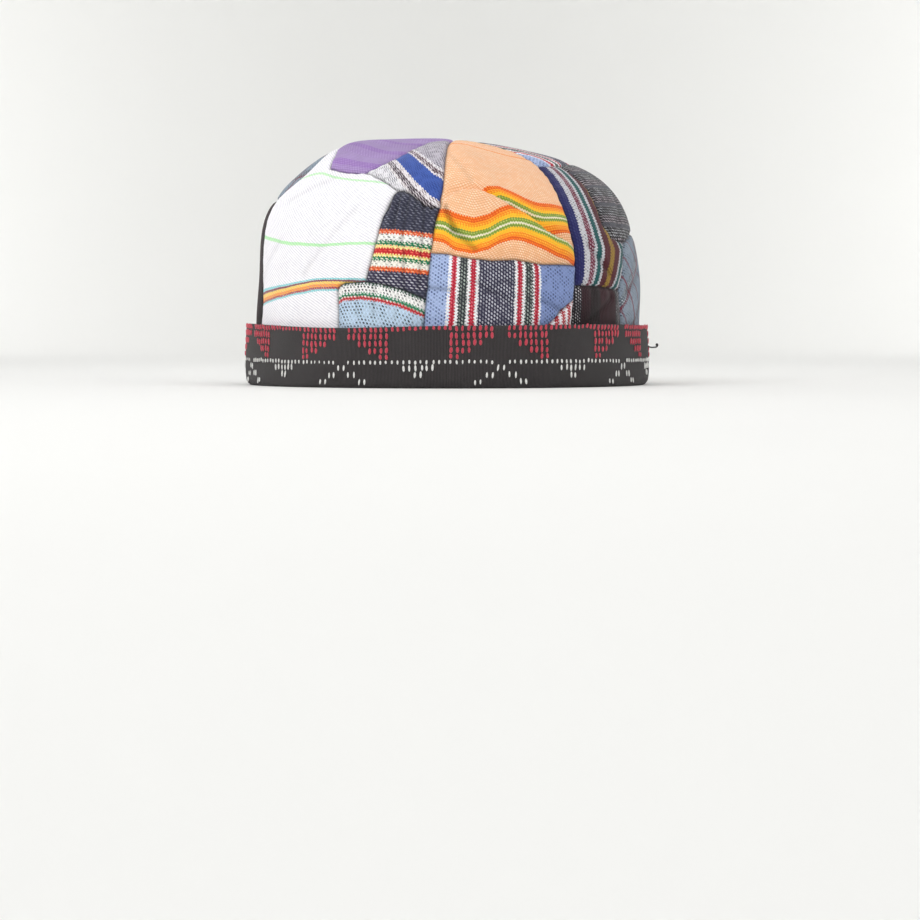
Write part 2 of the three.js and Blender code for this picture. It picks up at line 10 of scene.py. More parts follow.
import bpy
import numpy as np
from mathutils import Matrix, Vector
from bpy.props import FloatProperty, FloatVectorProperty, IntProperty, PointerProperty


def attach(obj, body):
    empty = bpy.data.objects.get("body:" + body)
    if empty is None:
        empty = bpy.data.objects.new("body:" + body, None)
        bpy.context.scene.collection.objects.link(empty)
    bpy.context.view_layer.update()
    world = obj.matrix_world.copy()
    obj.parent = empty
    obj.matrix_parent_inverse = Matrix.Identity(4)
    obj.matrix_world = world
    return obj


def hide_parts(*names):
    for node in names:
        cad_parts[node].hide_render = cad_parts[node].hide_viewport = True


bl_info = {
    "name": "Patchwork skullcap",
    "version": (1, 0, 0),
    "blender": (4, 5, 0),
    "location": "View3D > Sidebar > Skullcap",
    "description": "Builds a skullcap of sewn cloth patches with a folded knitted cuff",
    "category": "Add Mesh",
}

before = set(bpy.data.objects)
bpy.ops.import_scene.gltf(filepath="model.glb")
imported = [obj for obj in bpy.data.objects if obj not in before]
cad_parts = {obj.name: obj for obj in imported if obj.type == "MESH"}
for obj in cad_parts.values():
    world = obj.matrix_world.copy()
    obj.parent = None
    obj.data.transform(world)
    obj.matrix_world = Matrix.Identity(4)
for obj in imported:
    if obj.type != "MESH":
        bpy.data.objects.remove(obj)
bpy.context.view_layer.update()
MM = 0.001

# Crown form
CROWN_LEFT = 91.5
CROWN_RIGHT = 92.4
CROWN_DEPTH = 98.0
CROWN_HEIGHT = 106.0
SQUARE_LEFT = 3.8
SQUARE_RIGHT = 3.6
SQUARE_FRONT = 3.5
TOP_SHIFT = -2.5
LEAN = 4.3
CROWN_LIFT = 9.0
CROWN_SIDE_SHIFT = -1.2
PEAK_OUT = 3.2
PEAK_WIDE = 16.0
CLOTH_THICK = 1.6
CROWN_START = 24.3
TIP_UP = 89.7
# Half width of the hollow along a gore seam, and height of the cloth's soft unevenness
GORE_DIP_WIDE = 7.0
SOFT_HEIGHT = 0.45

# Soft rises and dents: round, up, spread round, spread up, height outwards
RISES = (
    (-88, 36, 45, 14, 3.4),
    (-74, 49, 24, 9, -4.4),
    (-54, 56, 15, 9, 2.8),
    (-34, 57, 13, 10, -3.0),
    (-2, 60, 13, 14, 2.8),
    (42, 56, 26, 12, -2.6),
    (84, 50, 28, 14, 1.6),
    (128, 54, 30, 13, -1.8),
    (186, 44, 34, 15, 1.8),
    (238, 56, 24, 12, -2.2),
)

# The big fold of the orange patch: rows of round, up along its upper lip
FOLD_LIP = (
    (-4.4, 39.7), (-1.6, 41.9), (2.3, 43.2), (7.4, 43.5), (11.1, 42.7), (14.1, 41.8), (17, 40.4),
    (20.7, 39.2), (24.3, 37.4), (26.9, 35.6), (30.8, 34.3), (36.7, 33.4), (39.8, 32),
)
# Its height, its spread below and above the lip, the crease above it, and the dip under its left end
FOLD_HEIGHT = 3.0
FOLD_BELOW = 9.0
FOLD_ABOVE = 0.9
FOLD_CREASE = 2.4
FOLD_CREASE_AT = 1.8
FOLD_CREASE_WIDE = 2.0
FOLD_DIP = 1.6
# Round angles between which the fold runs, and how long it fades in and out
FOLD_START = -4.5
FOLD_START_FADE = 6
FOLD_END = 39
FOLD_END_FADE = 5
# The dip's round angle and spread, and how far below the cream stripe it lies and reaches
FOLD_DIP_ROUND = 3
FOLD_DIP_WIDE = 7
FOLD_DIP_BELOW = 1.5
FOLD_DIP_TALL = 5
# Middle of the cream stripe below and above that fold
STRIPE_LOW = (
    (-5.5, 35.3), (-2.3, 34.9), (0.5, 33.7), (5.7, 33), (10, 34), (13.3, 35.5), (16.6, 36.4),
    (20.3, 36.3), (23.7, 35.5), (26.4, 34.8), (30.7, 33.6), (36.4, 32.9), (40, 32.6),
)
STRIPE_HIGH = (
    (-5, 35), (-1.6, 37.4), (2.3, 38.7), (6, 39.8), (10.4, 42.3), (14.5, 43.1), (17.1, 42.5), (20.4, 41.2),
    (25.2, 39.3), (27.3, 38.8), (29.5, 38.9), (34.9, 39.5), (40, 39.6),
)
# The same stripe well above the fold, where the cloth lies plain
STRIPE_PLAIN = ((-5, 40.6), (9, 41), (17, 40.8), (27, 39.5), (40, 39.6))
# Height over which the stripes straighten above the fold, and how far they are drawn together there
STRIPE_FADE = 8.0
STRIPE_TIGHT = 1.12

# Length of one degree on the crown, round and up
ROUND_MM = 1.65
UP_MM = 1.75

# Sharp creases of single patches: patch, start, end, width and depth in mm
CREASES = (
    ("front_right_upright", (-6.6, 20.6), (0.4, 20.0), 1.1, 1.0),
    ("front_right_upright", (7.2, 22.4), (18, 18.0), 1.2, 0.8),
    ("front_right_upright", (26, 19.5), (38, 16.5), 1.5, 0.9),
    ("front_right_orange", (-2.8, 39.2), (0.2, 34.6), 1.4, 1.4),
    ("front_right_orange", (0.2, 34.6), (6.5, 30.6), 1.5, 1.1),
    ("front_right_orange", (-3.5, 57), (5, 47), 2.2, 0.45),
    ("front_left_bands", (-17.2, 34), (-15.9, 44), 1.2, 1.0),
    ("front_left_bands", (-14.2, 30), (-13.4, 43), 1.1, 1.1),
    ("front_left_bands", (-11.2, 33), (-10.9, 42), 1.1, 1.0),
    ("front_left_bands", (-8.4, 20), (-8.6, 41), 1.1, 1.0),
    ("front_left_bands", (-12.4, 18), (-13.2, 28), 1.2, 1.0),
    ("front_left_bands", (-17.5, 20), (-17, 27), 1.1, 0.6),
    ("front_left_pale_blue", (-20.6, 12), (-21, 20), 1.1, 0.7),
    ("front_left_pale_blue", (-25.5, 12), (-26, 19), 1.1, 0.6),
    ("front_left_pale_blue", (-14.5, 12), (-14, 18), 1.1, 0.5),
    ("front_left_white", (-46, 22), (-30, 38), 2.4, 0.4),
    ("front_left_white", (-62, 40), (-44, 46), 2.6, 0.45),
    ("front_left_white", (-74, 20), (-60, 30), 2.4, 0.35),
    ("right_narrow_stripes", (44, 34), (53, 28), 1.6, 1.0),
    ("right_maroon", (41, 14), (54, 22), 1.6, 0.8),
    ("right_plaid", (64, 24), (80, 30), 1.8, 0.9),
    ("right_plaid", (66, 14), (84, 20), 1.8, 0.7),
    ("right_black_white", (64, 40), (84, 50), 1.8, 0.8),
    ("back_right_orange", (112, 40), (120, 52), 2.2, 0.4),
    ("back_low_upright", (170, 12), (176, 24), 1.5, 0.7),
    ("back_middle_black_white", (172, 30), (188, 46), 2.0, 0.9),
    ("back_left_plaid", (226, 44), (240, 60), 2.0, 0.9),
    ("back_left_narrow_stripes", (224, 14), (236, 30), 1.7, 0.8),
)
# Width in mm of the painted shade along a seam, and how strongly painted shade darkens a crease
SEAM_SHADE_WIDE = 1.1
CREASE_SHADE = 0.75

# Lines across the white cloth: place on the cloth, and rows of round, up
WHITE_LINES = (
    (0, ((-80, 14.6), (-68.6, 15.9), (-55.7, 17.4), (-48, 18.4), (-39.4, 19.4), (-33, 19.6), (-20, 20))),
    (20.5, ((-80, 31), (-74, 30.5), (-55, 29), (-40, 28.7), (-32, 29.2), (-23, 29.6))),
    (52, ((-80, 47), (-59, 47), (-51, 47.2), (-42, 46), (-33, 45.2), (-25, 44.8))),
)
# Top of the pale blue cloth, and the lower dark line of the blue twill: round, up
PALE_BLUE_TOP = (
    (-33, 18.8), (-30.2, 20.2), (-24, 20.8), (-19.3, 20.5), (-13.5, 19.5), (-9.2, 18.4), (-6, 17.3),
)
TWILL_LINE = ((-34, 62), (-21.4, 52.1), (-13, 45.7), (-7.1, 41.8), (-3.5, 40.7))
# How far the narrow stripes are drawn together: up, share of their width
NARROW_TIGHT = ((24, 0.7), (30, 0.86), (34, 1), (90, 1))
# Their width in mm for each degree round
NARROW_WIDE = 1.5
# Height at which the bands patch's cloth starts
BANDS_START = 19.6
# Meridian along which the lines of the white cloth are measured
WHITE_MIDDLE = -45
# Meridian from which a patch's cloth is measured, where it isn't the mean of the patch
CLOTH_MIDDLE = {
    "front_left_white": -50,
    "front_left_pale_blue": -20,
    "front_left_bands": -14,
    "front_left_blue_twill": -14,
    "front_right_orange": 16,
    "front_right_upright": 16,
    "front_right_corner": 32,
    "right_narrow_stripes": 48,
}
# Cloths that follow a line of the crown: the line, and the share of their width
CLOTH_LINES = {"front_left_pale_blue": (PALE_BLUE_TOP, 1.0), "front_left_blue_twill": (TWILL_LINE, 0.95)}
# Cloths with upright stripes set by the round angle: where they start, and mm for each degree
CLOTH_UPRIGHT = {"front_right_upright": (-6.8, 1.66), "front_right_corner": (24, 1.6)}
# Other patches whose stripes stand upright
STANDING = ("right_maroon", "right_top", "back_low_upright", "back_left_narrow_stripes", "back_left_maroon")
# How far the cloth of a patch is moved across its bands
CLOTH_SHIFT = {"back_right_bands": 20, "back_right_white": 24, "back_right_orange": 70}

# Gore seams: rows of round, up
SEAM_LEFT = ((-79, 0), (-78.5, 18), (-79.5, 30), (-80.5, 38), (-79.5, 50), (-79, 70), (-79, 90))
SEAM_FRONT = (
    (-6.8, 0), (-6.5, 12), (-6.2, 20), (-5.8, 29), (-5.2, 36), (-3.6, 42), (-3.7, 50), (-4, 60), (-4, 90),
)
SEAM_RIGHT = (
    (38.2, 0), (38, 18), (38.8, 26), (39, 32), (37.9, 38), (37.6, 45), (40, 52), (43.5, 60),
    (45.5, 72), (46, 90),
)
SEAM_BACK_RIGHT = ((97, 0), (98, 30), (96.5, 55), (98, 75), (98, 90))
SEAM_BACK = ((157, 0), (155.5, 30), (157, 55), (157, 90))
SEAM_BACK_LEFT = ((217, 0), (218.5, 30), (217, 55), (216, 90))
GORE_SEAMS = (SEAM_LEFT, SEAM_FRONT, SEAM_RIGHT, SEAM_BACK_RIGHT, SEAM_BACK, SEAM_BACK_LEFT)
# Heights at which a seam gets a place, beside those of its own rows
SEAM_HEIGHTS = (10, 15, 22, 26, 34, 47, 57, 64, 68, 76, 80, 84, 86.5, 88, 89)

# Undyed white yarn, as hexadecimal sRGB like every colour here
WHITE = "f4f2f6"

# Each cloth's bands lie across its stripes: width, yarn colour, dot colour. Where a cloth has them,
# "cell" is the weave's cell along and across, "slant" the lean of its rows of dots, "grow" the dots'
# size and "dots" their strength, "tooth" and "tooth_pitch" the zigzag of a band's edge, "twill" the
# pitch, slope and tone of its lines, "rib" the pitch and depth of its ribs, "mottle" its clouds, "cross"
# the widths and tones of bars over the bands, and "turn" the cloth's turn in degrees.
CLOTHS = {
    "cloth_white": {
        "start": -22.7,
        "bands": (
            (19.8, WHITE, WHITE), (0.9, "8fd6da", WHITE), (0.9, "a9404c", "e8e8d8"),
            (1.1, "f49a4c", "f8c468"), (1.2, "fbd36c", "f6b050"), (0.9, "8c4450", "dff0e0"),
            (0.9, "8fd6da", WHITE), (17.0, WHITE, WHITE), (1.4, "b9edb4", "dcf5d4"),
            (30.0, WHITE, WHITE), (1.3, "c3ecbe", "e2f5dc"), (40, WHITE, WHITE),
        ),
        "twill": (1.3, 0.55, 0.13),
        "dots": 0.5,
        "mottle": 0.02,
    },
    "cloth_pale_blue": {
        "start": -60,
        "bands": (
            (51.6, "c4daf0", "1f2832"), (1.7, "bf2f3a", "eab0ac"), (1.7, "2f8058", WHITE),
            (3.4, "f6f4f2", "2c3236"), (0.9, "24503c", WHITE), (8, "24503c", WHITE),
        ),
        "cell": (1.8, 1.5),
        "grow": 1.12,
        "rib": (1.9, 0.3),
        "dots": 0.95,
        "tooth": 0.4,
    },
    "cloth_bands": {
        "start": 0,
        "bands": (
            (7.4, "37334a", "c9c7d2"), (2.1, "dd5a2e", "f3b88a"), (2.7, "f6f1e6", "1f3a30"),
            (1.9, "1f7a52", "f6f0dc"), (1.1, "f4de84", "f6f0dc"), (2.6, "c8262e", "e8705c"),
            (1.4, "f6e69a", "c8262e"), (2.2, "1f7a52", "f6f0dc"), (3.2, "f6f4f0", "22282c"),
            (2.0, "df5a32", "f6d8b0"), (38, "37384a", "7d7f90"),
        ),
        "cell": (2.5, 1.25),
        "slant": 0.6,
        "rib": (2.6, 0.3),
        "dots": 0.9,
        "tooth": 0.42,
    },
    "cloth_lilac": {
        "start": 0,
        "bands": ((6, "9b81b6", "b7a4ca"), (4, "9573b4", "ab94c4"), (5, "a08ab8", "9079ac")),
        "dots": 0.5,
        "mottle": 0.14,
    },
    "cloth_blue_twill": {
        "start": -40,
        "bands": (
            (31.5, "f3f1f6", "2e2f40"), (1.4, "f6f2f4", "4c2330"), (3.6, "33222e", "f0e8ee"),
            (3.5, "f3eef2", "4c2330"), (11.5, "3f5db0", "263c7e"), (1.2, "f3eef2", "4c2330"),
            (3.3, "47222f", "f0e8ee"), (1.4, WHITE, "4c2330"), (45, "c6c0cc", "2c2536"),
        ),
        "cell": (1.9, 1.25),
        "slant": 0.9,
        "grow": 1.3,
        "dots": 0.92,
        "tooth": 0.35,
    },
    "cloth_orange": {
        "start": -47.9,
        "bands": (
            (40, "f0b384", "fde9cf"), (2.1, "ec5f18", "f9a33c"), (2.0, "f98f1e", "fdc548"),
            (1.9, "fcc02e", "f79a1c"), (1.5, "7f9a3c", "c9cf74"), (0.9, "f6ead0", "8aa050"),
            (1.5, "7f9a3c", "c9cf74"), (1.9, "fcc02e", "f79a1c"), (2.0, "f98f1e", "fdc548"),
            (2.1, "ec5f18", "f9a33c"), (43, "f2b88c", "fde6cc"), (1.8, "ee8a3e", "f8b878"),
            (15.2, "f2b88c", "fde6cc"),
        ),
        "cell": (1.25, 1.05),
        "dots": 0.8,
        "tooth": 0.3,
        "tooth_pitch": 1.25,
        "mottle": 0.05,
    },
    "cloth_upright": {
        "start": 0,
        "bands": (
            (10.2, "a9bbe2", "26386c"), (1.2, "f4f2f4", "86a0d4"), (2.2, "b11f36", "e0707e"),
            (1.4, "f4f2f4", "26262b"), (3.9, "2f3338", "aab4ac"), (1.2, "f4f2f4", "26262b"),
            (2.2, "b11f36", "e0707e"), (1.4, "f4f2f4", "2e2c42"), (17.0, "2d2b42", "c4c4d0"),
            (1.4, "f4f2f4", "2e2c42"), (2.2, "a81c30", "d86474"), (1.4, "f4f2f4", "26262b"),
            (3.6, "2b2f34", "aab4ac"), (1.2, "f4f2f4", "26262b"), (2.1, "a81c30", "d86474"),
            (1.1, "f4f2f4", "5b75b0"), (9.6, "8396c8", "202f58"), (30, "8396c8", "202f58"),
        ),
        "cell": (1.75, 1.3),
        "grow": 1.12,
        "dots": 0.88,
        "tooth": 0.38,
    },
    "cloth_corner": {
        "start": 0,
        "bands": ((2.0, "b0202e", WHITE), (1.7, WHITE, "b0202e")),
        "dots": 0.6,
        "tooth": 0.5,
    },
    # Partly the cloth's own colours and partly painted shade: set darker for the shade on the cap's right
    # side
    "cloth_narrow": {
        "start": -0.5,
        "bands": (
            (5.4, "20225a", "383a6e"), (3.7, "c8c8ce", "211f28"), (3.2, "641430", "d2bac6"),
            (1.9, "c8c8ce", "382834"), (3.4, "0a5254", "083a3c"), (2.2, "c8c8ce", "182e30"),
            (5.2, "500e1c", "360b15"), (4.2, "987828", "402216"), (5.0, "500e1c", "360b15"),
            (2.0, "c0c0c6", "182e30"), (3.6, "0a5052", "083a3c"), (2.4, "c0c0c6", "182e30"),
            (12, "500e1c", "360b15"),
        ),
        "cell": (1.7, 1.3),
        "slant": 0.5,
        "dots": 0.85,
        "tooth": 0.5,
    },
    "cloth_maroon": {
        "start": 0,
        "bands": (
            (4.2, "17141a", "b9b5ba"), (6, "281219", "3a1f26"), (7, "1a1215", "2e1c20"),
            (13, "2c1118", "40202a"), (4.4, "161316", "aeaab0"),
        ),
        "dots": 0.85,
        "mottle": 0.42,
    },
    "cloth_black_white": {
        "start": 0,
        "bands": ((5, "1d1d22", "b4b4b8"), (2.2, "55555e", "1d1d22"), (4, "262028", "bcb2b8")),
        "cell": (2.2, 1.4),
        "slant": 1.1,
        "grow": 1.1,
        "dots": 0.95,
        "tooth": 0.3,
    },
    # Partly the cloth's own colours and partly painted shade: set darker for the shade on the cap's right
    # side
    "cloth_plaid": {
        "start": 0,
        "bands": (
            (7, "8f9cab", "2e3642"), (1.5, "6c2638", "98a2ae"), (4, "5a6570", "c0c8d0"),
            (6, "8896a6", "2c3440"),
        ),
        "cross": ((11, 0), (1.4, 0.8), (8, 0), (1.2, 0.6)),
        "cross_colour": "742838",
        "turn": 42,
        "cell": (1.6, 1.3),
        "grow": 1.1,
        "dots": 0.88,
        "tooth": 0.3,
    },
}
# Scales of the noises: yarn that wanders, uneven dots, broken ribs and twill lines, soft clouds and fuzz
WANDER_SCALE = 160.0
UNEVEN_SCALE = 340.0
RIB_SCALE = 120.0
BROKEN_SCALE = 420.0
CLOUD_SCALE = 55.0
FUZZ_SCALE = 2600.0
# The same of the knitted band, and the fuzz of single yarns
KNIT_WANDER_SCALE = 90.0
KNIT_CLOUD_SCALE = 40.0
KNIT_FUZZ_SCALE = 2400.0
YARN_FUZZ_SCALE = 2200.0
# Dark line of the twill
TWILL_SHADE = "a9a5c4"

# Dip of a sewn side: narrow and wide half width, and depth of the wide one
SEAM_NARROW = 0.9
SEAM_WIDE = 4.2
SEAM_WIDE_DEPTH = 0.75
# Distance of the puckers from a sewn side, and their half width
PUCKER_AT = 2.0
PUCKER_WIDE = 3.4
# Points whose distance to the sides is measured at a time
CHUNK = 2000
# Gathers over the bands patch's upper seam: first and last height, depth, and turns per mm
GATHER_FROM = 31
GATHER_TO = 38
GATHER_DEPTH = 0.85
GATHER_TURNS = 1.55

# Section of the cuff: distance out from the band's oval, and height; the outer leaf is
# rows 6 to 20, and its outside ends before row 15
CUFF_SIDE = 92.9
CUFF_DEPTH = 98.2
CUFF_FOLD_UP = 4.0
CUFF_SECTION = (
    (-1.9, 24), (-2.1, 16), (-2.2, 8), (-2.1, 2.4), (-1.5, 0.8), (-0.3, 0), (2.6, 0), (3.4, 0.7),
    (3.9, 2.4), (4.2, 8), (4.2, 15), (3.8, 22), (3.5, 26.4), (2.9, 28.4), (1.9, 29), (0.9, 28.3),
    (0.7, 26.6), (1, 21), (1.3, 12), (1.1, 4.4), (0.6, 2.6), (0.3, 4.4), (0.1, 12), (0.1, 24),
)
CUFF_LEAF = (6, 20)
CUFF_OUTSIDE_END = 15
# Rise of the cuff's upper edge: round, spread, height
CUFF_WAVE = ((-82, 24, 0.9), (-30, 20, -1), (48, 26, 0.6), (140, 30, -0.6), (205, 26, 0.5))

# Knitted figure of the cuff: 28 columns; each row gives its colour, height, half length and columns
FIGURE_COLUMNS = 28
# Width of a column, and how far out from the band's oval the columns are counted
FIGURE_STEP = 2.62
FIGURE_OUT = 4
FIGURE_MIDDLE_COLUMN = 8.5
FIGURE_MIDDLE_ROUND = 13.8
# Where the figure's two ends meet at the back
FIGURE_JOIN = 197
FIGURE_ROWS = (
    ("red", 27.1, 1.4, (*range(8), *range(10, 28))),
    ("red", 24.1, 1.5, (*range(8), *range(10, 18))),
    ("red", 20.7, 1.5, (*range(6), *range(12, 18))),
    ("red", 17.4, 1.45, (*range(4), *range(14, 18))),
    ("red", 14.5, 1.2, (*range(2), 16, 17)),
    ("white", 12.0, 0.95, (*range(8), *range(10, 28))),
    ("white", 9.3, 1.4, (8, 9, *range(20, 26))),
    ("white", 6.1, 1.45, (6, 7, 10, 11, 22, 23)),
    ("white", 2.9, 1.35, (4, 5, 12, 13)),
)
# How far a float's middle stands out of the cuff, and the reach over which the cuff's slope is read
FLOAT_OUT = 0.14
SLOPE_REACH = 0.8
# Half width and half thickness of each colour's floats
FLOATS = {"red": (0.72, 0.34), "white": (0.52, 0.34)}
# Their unevenness: degrees round, height in mm, turn in radians, and share of their size
FLOAT_SPREAD_ROUND = 0.1
FLOAT_SPREAD_UP = 0.15
FLOAT_SPREAD_TURN = 0.07
FLOAT_SPREAD_SIZE = 0.07

# Studio floor: flat radius, radius of its bend, and height of the wall
FLOOR_FLAT = 1900.0
FLOOR_BEND = 900.0
FLOOR_WALL = 1500.0
# Width of the picture in pixels, for the camera's scale
PICTURE_WIDE = 920

# Stray strand: round angle where it leaves the cuff, and its route as rows of out, sideways and height
STRAND_ROUND = 84.0
STRAND_FOOT = 3.6
STRAND_ROUTE = (
    (-0.6, 0, 18.4), (0.5, 0, 18.3), (1.8, 0.2, 17.8), (3.1, 0.1, 17.9), (4.2, 0, 17.9),
    (4.9, 0.3, 18.4), (5.1, 0.7, 19.2), (4.6, 0.9, 19.6), (4.2, 0.6, 19.1), (4.6, 0.2, 18.6),
)


def linear(text):
    """Linear colour of a hexadecimal sRGB one."""
    parts = [int(text[i:i + 2], 16) / 255 for i in (0, 2, 4)]
    return [c / 12.92 if c <= 0.04045 else ((c + 0.055) / 1.055) ** 2.4 for c in parts] + [1.0]


def turn_between(start, end):
    """Shortest turn from one round angle to another."""
    return (np.asarray(end) - start + 180) % 360 - 180


def bell(distance, wide):
    """A smooth bump: 1 at no distance, near 0 past twice the width."""
    return np.exp(-((distance / wide) ** 2))


def seam_round(seam, up):
    """Round angle of a seam at a height, its corners softened."""
    rows = np.array(seam, float)
    up = np.asarray(up, float)
    return sum(np.interp(up + shift, rows[:, 1], rows[:, 0]) for shift in (-2, -1, 0, 1, 2)) / 5


def table_at(rows, x):
    """Second column of a table at a value of the first."""
    rows = np.array(rows, float)
    return np.interp(x, rows[:, 0], rows[:, 1])


def fold_out(around, up):
    """Height of the orange patch's fold and of the crease above it."""
    lip = table_at(FOLD_LIP, around)
    rise = (up - lip) * UP_MM
    fade = np.clip((around - FOLD_START) / FOLD_START_FADE, 0, 1)
    fade = fade * np.clip((FOLD_END - around) / FOLD_END_FADE, 0, 1)
    wide = np.where(rise < 0, FOLD_BELOW, FOLD_ABOVE)
    crease = -FOLD_CREASE * bell(rise - FOLD_CREASE_AT, FOLD_CREASE_WIDE) * (rise > -1)
    below = up - table_at(STRIPE_LOW, around) + FOLD_DIP_BELOW
    dip = -FOLD_DIP * bell(around - FOLD_DIP_ROUND, FOLD_DIP_WIDE) * bell(below * UP_MM, FOLD_DIP_TALL)
    return (FOLD_HEIGHT * bell(rise, wide) + crease + dip) * fade


def crease_out(name, around, up):
    """Depth of a patch's sharp creases."""
    total = np.zeros(np.shape(up))
    scale = np.array([ROUND_MM, UP_MM])
    for patch, start, end, wide, depth in CREASES:
        if patch != name:
            continue
        place = (np.stack([around, up], axis=-1) - start) * scale
        line = (np.array(end) - start) * scale
        share = np.clip(place @ line / (line @ line), 0, 1)
        gap = np.linalg.norm(place - share[..., None] * line, axis=-1)
        total = total - depth * bell(gap, wide)
    return total


def stand_out(around, up, fine=True):
    """How far the crown stands out from its plain form."""
    out = PEAK_OUT * bell(90 - up, PEAK_WIDE)
    for at, height, wide, tall, rise in RISES:
        out = out + rise * bell(turn_between(at, around), wide) * bell(up - height, tall)
    flat = np.cos(np.radians(up))
    for seam in GORE_SEAMS:
        distance = np.radians(turn_between(seam_round(seam, up), around)) * CROWN_DEPTH * flat
        out = out - bell(distance, GORE_DIP_WIDE) * flat
    if not fine:
        return out
    soft = np.sin(np.radians(around * 5 + 3 * up)) * np.sin(np.radians(up * 9 - 2 * around))
    soft = soft + 0.7 * np.sin(np.radians(around * 11 - 4 * up + 40)) * np.sin(np.radians(up * 14 + around))
    return out + fold_out(turn_between(0, around), up) + SOFT_HEIGHT * soft * flat


def crown_points(around, up, fine=True):
    """Points of the crown's outer face, in millimetres."""
    around = np.asarray(around, float)
    up = np.asarray(up, float)
    side = np.sin(np.radians(around))
    front = np.cos(np.radians(around))
    square = SQUARE_FRONT * front ** 2 + np.where(side > 0, SQUARE_RIGHT, SQUARE_LEFT) * side ** 2
    oval = 1 / np.hypot(side / np.where(side > 0, CROWN_RIGHT, CROWN_LEFT), front / CROWN_DEPTH)
    flat = np.maximum(np.cos(np.radians(up)), 1e-9) / oval
    tall = np.sin(np.radians(up)) / CROWN_HEIGHT
    reach = (flat ** square + tall ** square) ** (-1 / square) + stand_out(around, up, fine)
    radius = reach * np.cos(np.radians(up))
    z = reach * np.sin(np.radians(up))
    x = radius * side + TOP_SHIFT * (z / CROWN_HEIGHT) ** 2
    lean = math.radians(LEAN)
    return np.stack([
        x * math.cos(lean) + z * math.sin(lean) + CROWN_SIDE_SHIFT,
        -radius * front,
        z * math.cos(lean) - x * math.sin(lean) + CROWN_LIFT,
    ], axis=-1)


def crown_normals(around, up):
    """Outward directions of the crown's outer face."""
    east = crown_points(around + 0.5, up) - crown_points(around - 0.5, up)
    upper = np.minimum(up + 0.4, 90)
    north = crown_points(around, upper) - crown_points(around, upper - 0.8)
    normal = np.cross(east, north)
    return normal / np.maximum(np.linalg.norm(normal, axis=-1, keepdims=True), 1e-12)


def start_up(around):
    """Up angle at which the crown meets the band's seam."""
    ups = np.linspace(0, 40, 400)
    return float(np.interp(CROWN_START, crown_points(np.full(400, around), ups, fine=False)[:, 2], ups))


def band_edge(start, end):
    """Places along the band between two round angles."""
    steps = max(2, round((end - start) / 3))
    return [(a, start_up(a)) for a in np.linspace(start, end, steps + 1)]


def seam_part(seam, start, end, turn=0):
    """Places along a seam between two heights."""
    heights = sorted([*(u for _, u in seam), *SEAM_HEIGHTS])
    inside = [u for u in heights if start + 0.7 < u < end - 0.3]
    return [(float(seam_round(seam, u)) + turn, u) for u in (start, *inside, end)]


def seam_from_band(seam, end, turn=0):
    """Places along a seam from the band up."""
    start = start_up(seam[0][0])
    for _ in range(3):
        start = start_up(float(seam_round(seam, start)))
    return seam_part(seam, start, end, turn)


def on_seam(seam, up, turn=0):
    """One place on a seam."""
    return (float(seam_round(seam, up)) + turn, up)


def chain(*lines):
    """Lines joined end to end, shared ends once."""
    joined = list(lines[0])
    for line in lines[1:]:
        joined += list(line[1:])
    return joined


def tip(first, second, turn=0):
    """The short top side of a patch that ends at the crown's top."""
    return [on_seam(first, TIP_UP), on_seam(second, TIP_UP, turn)]


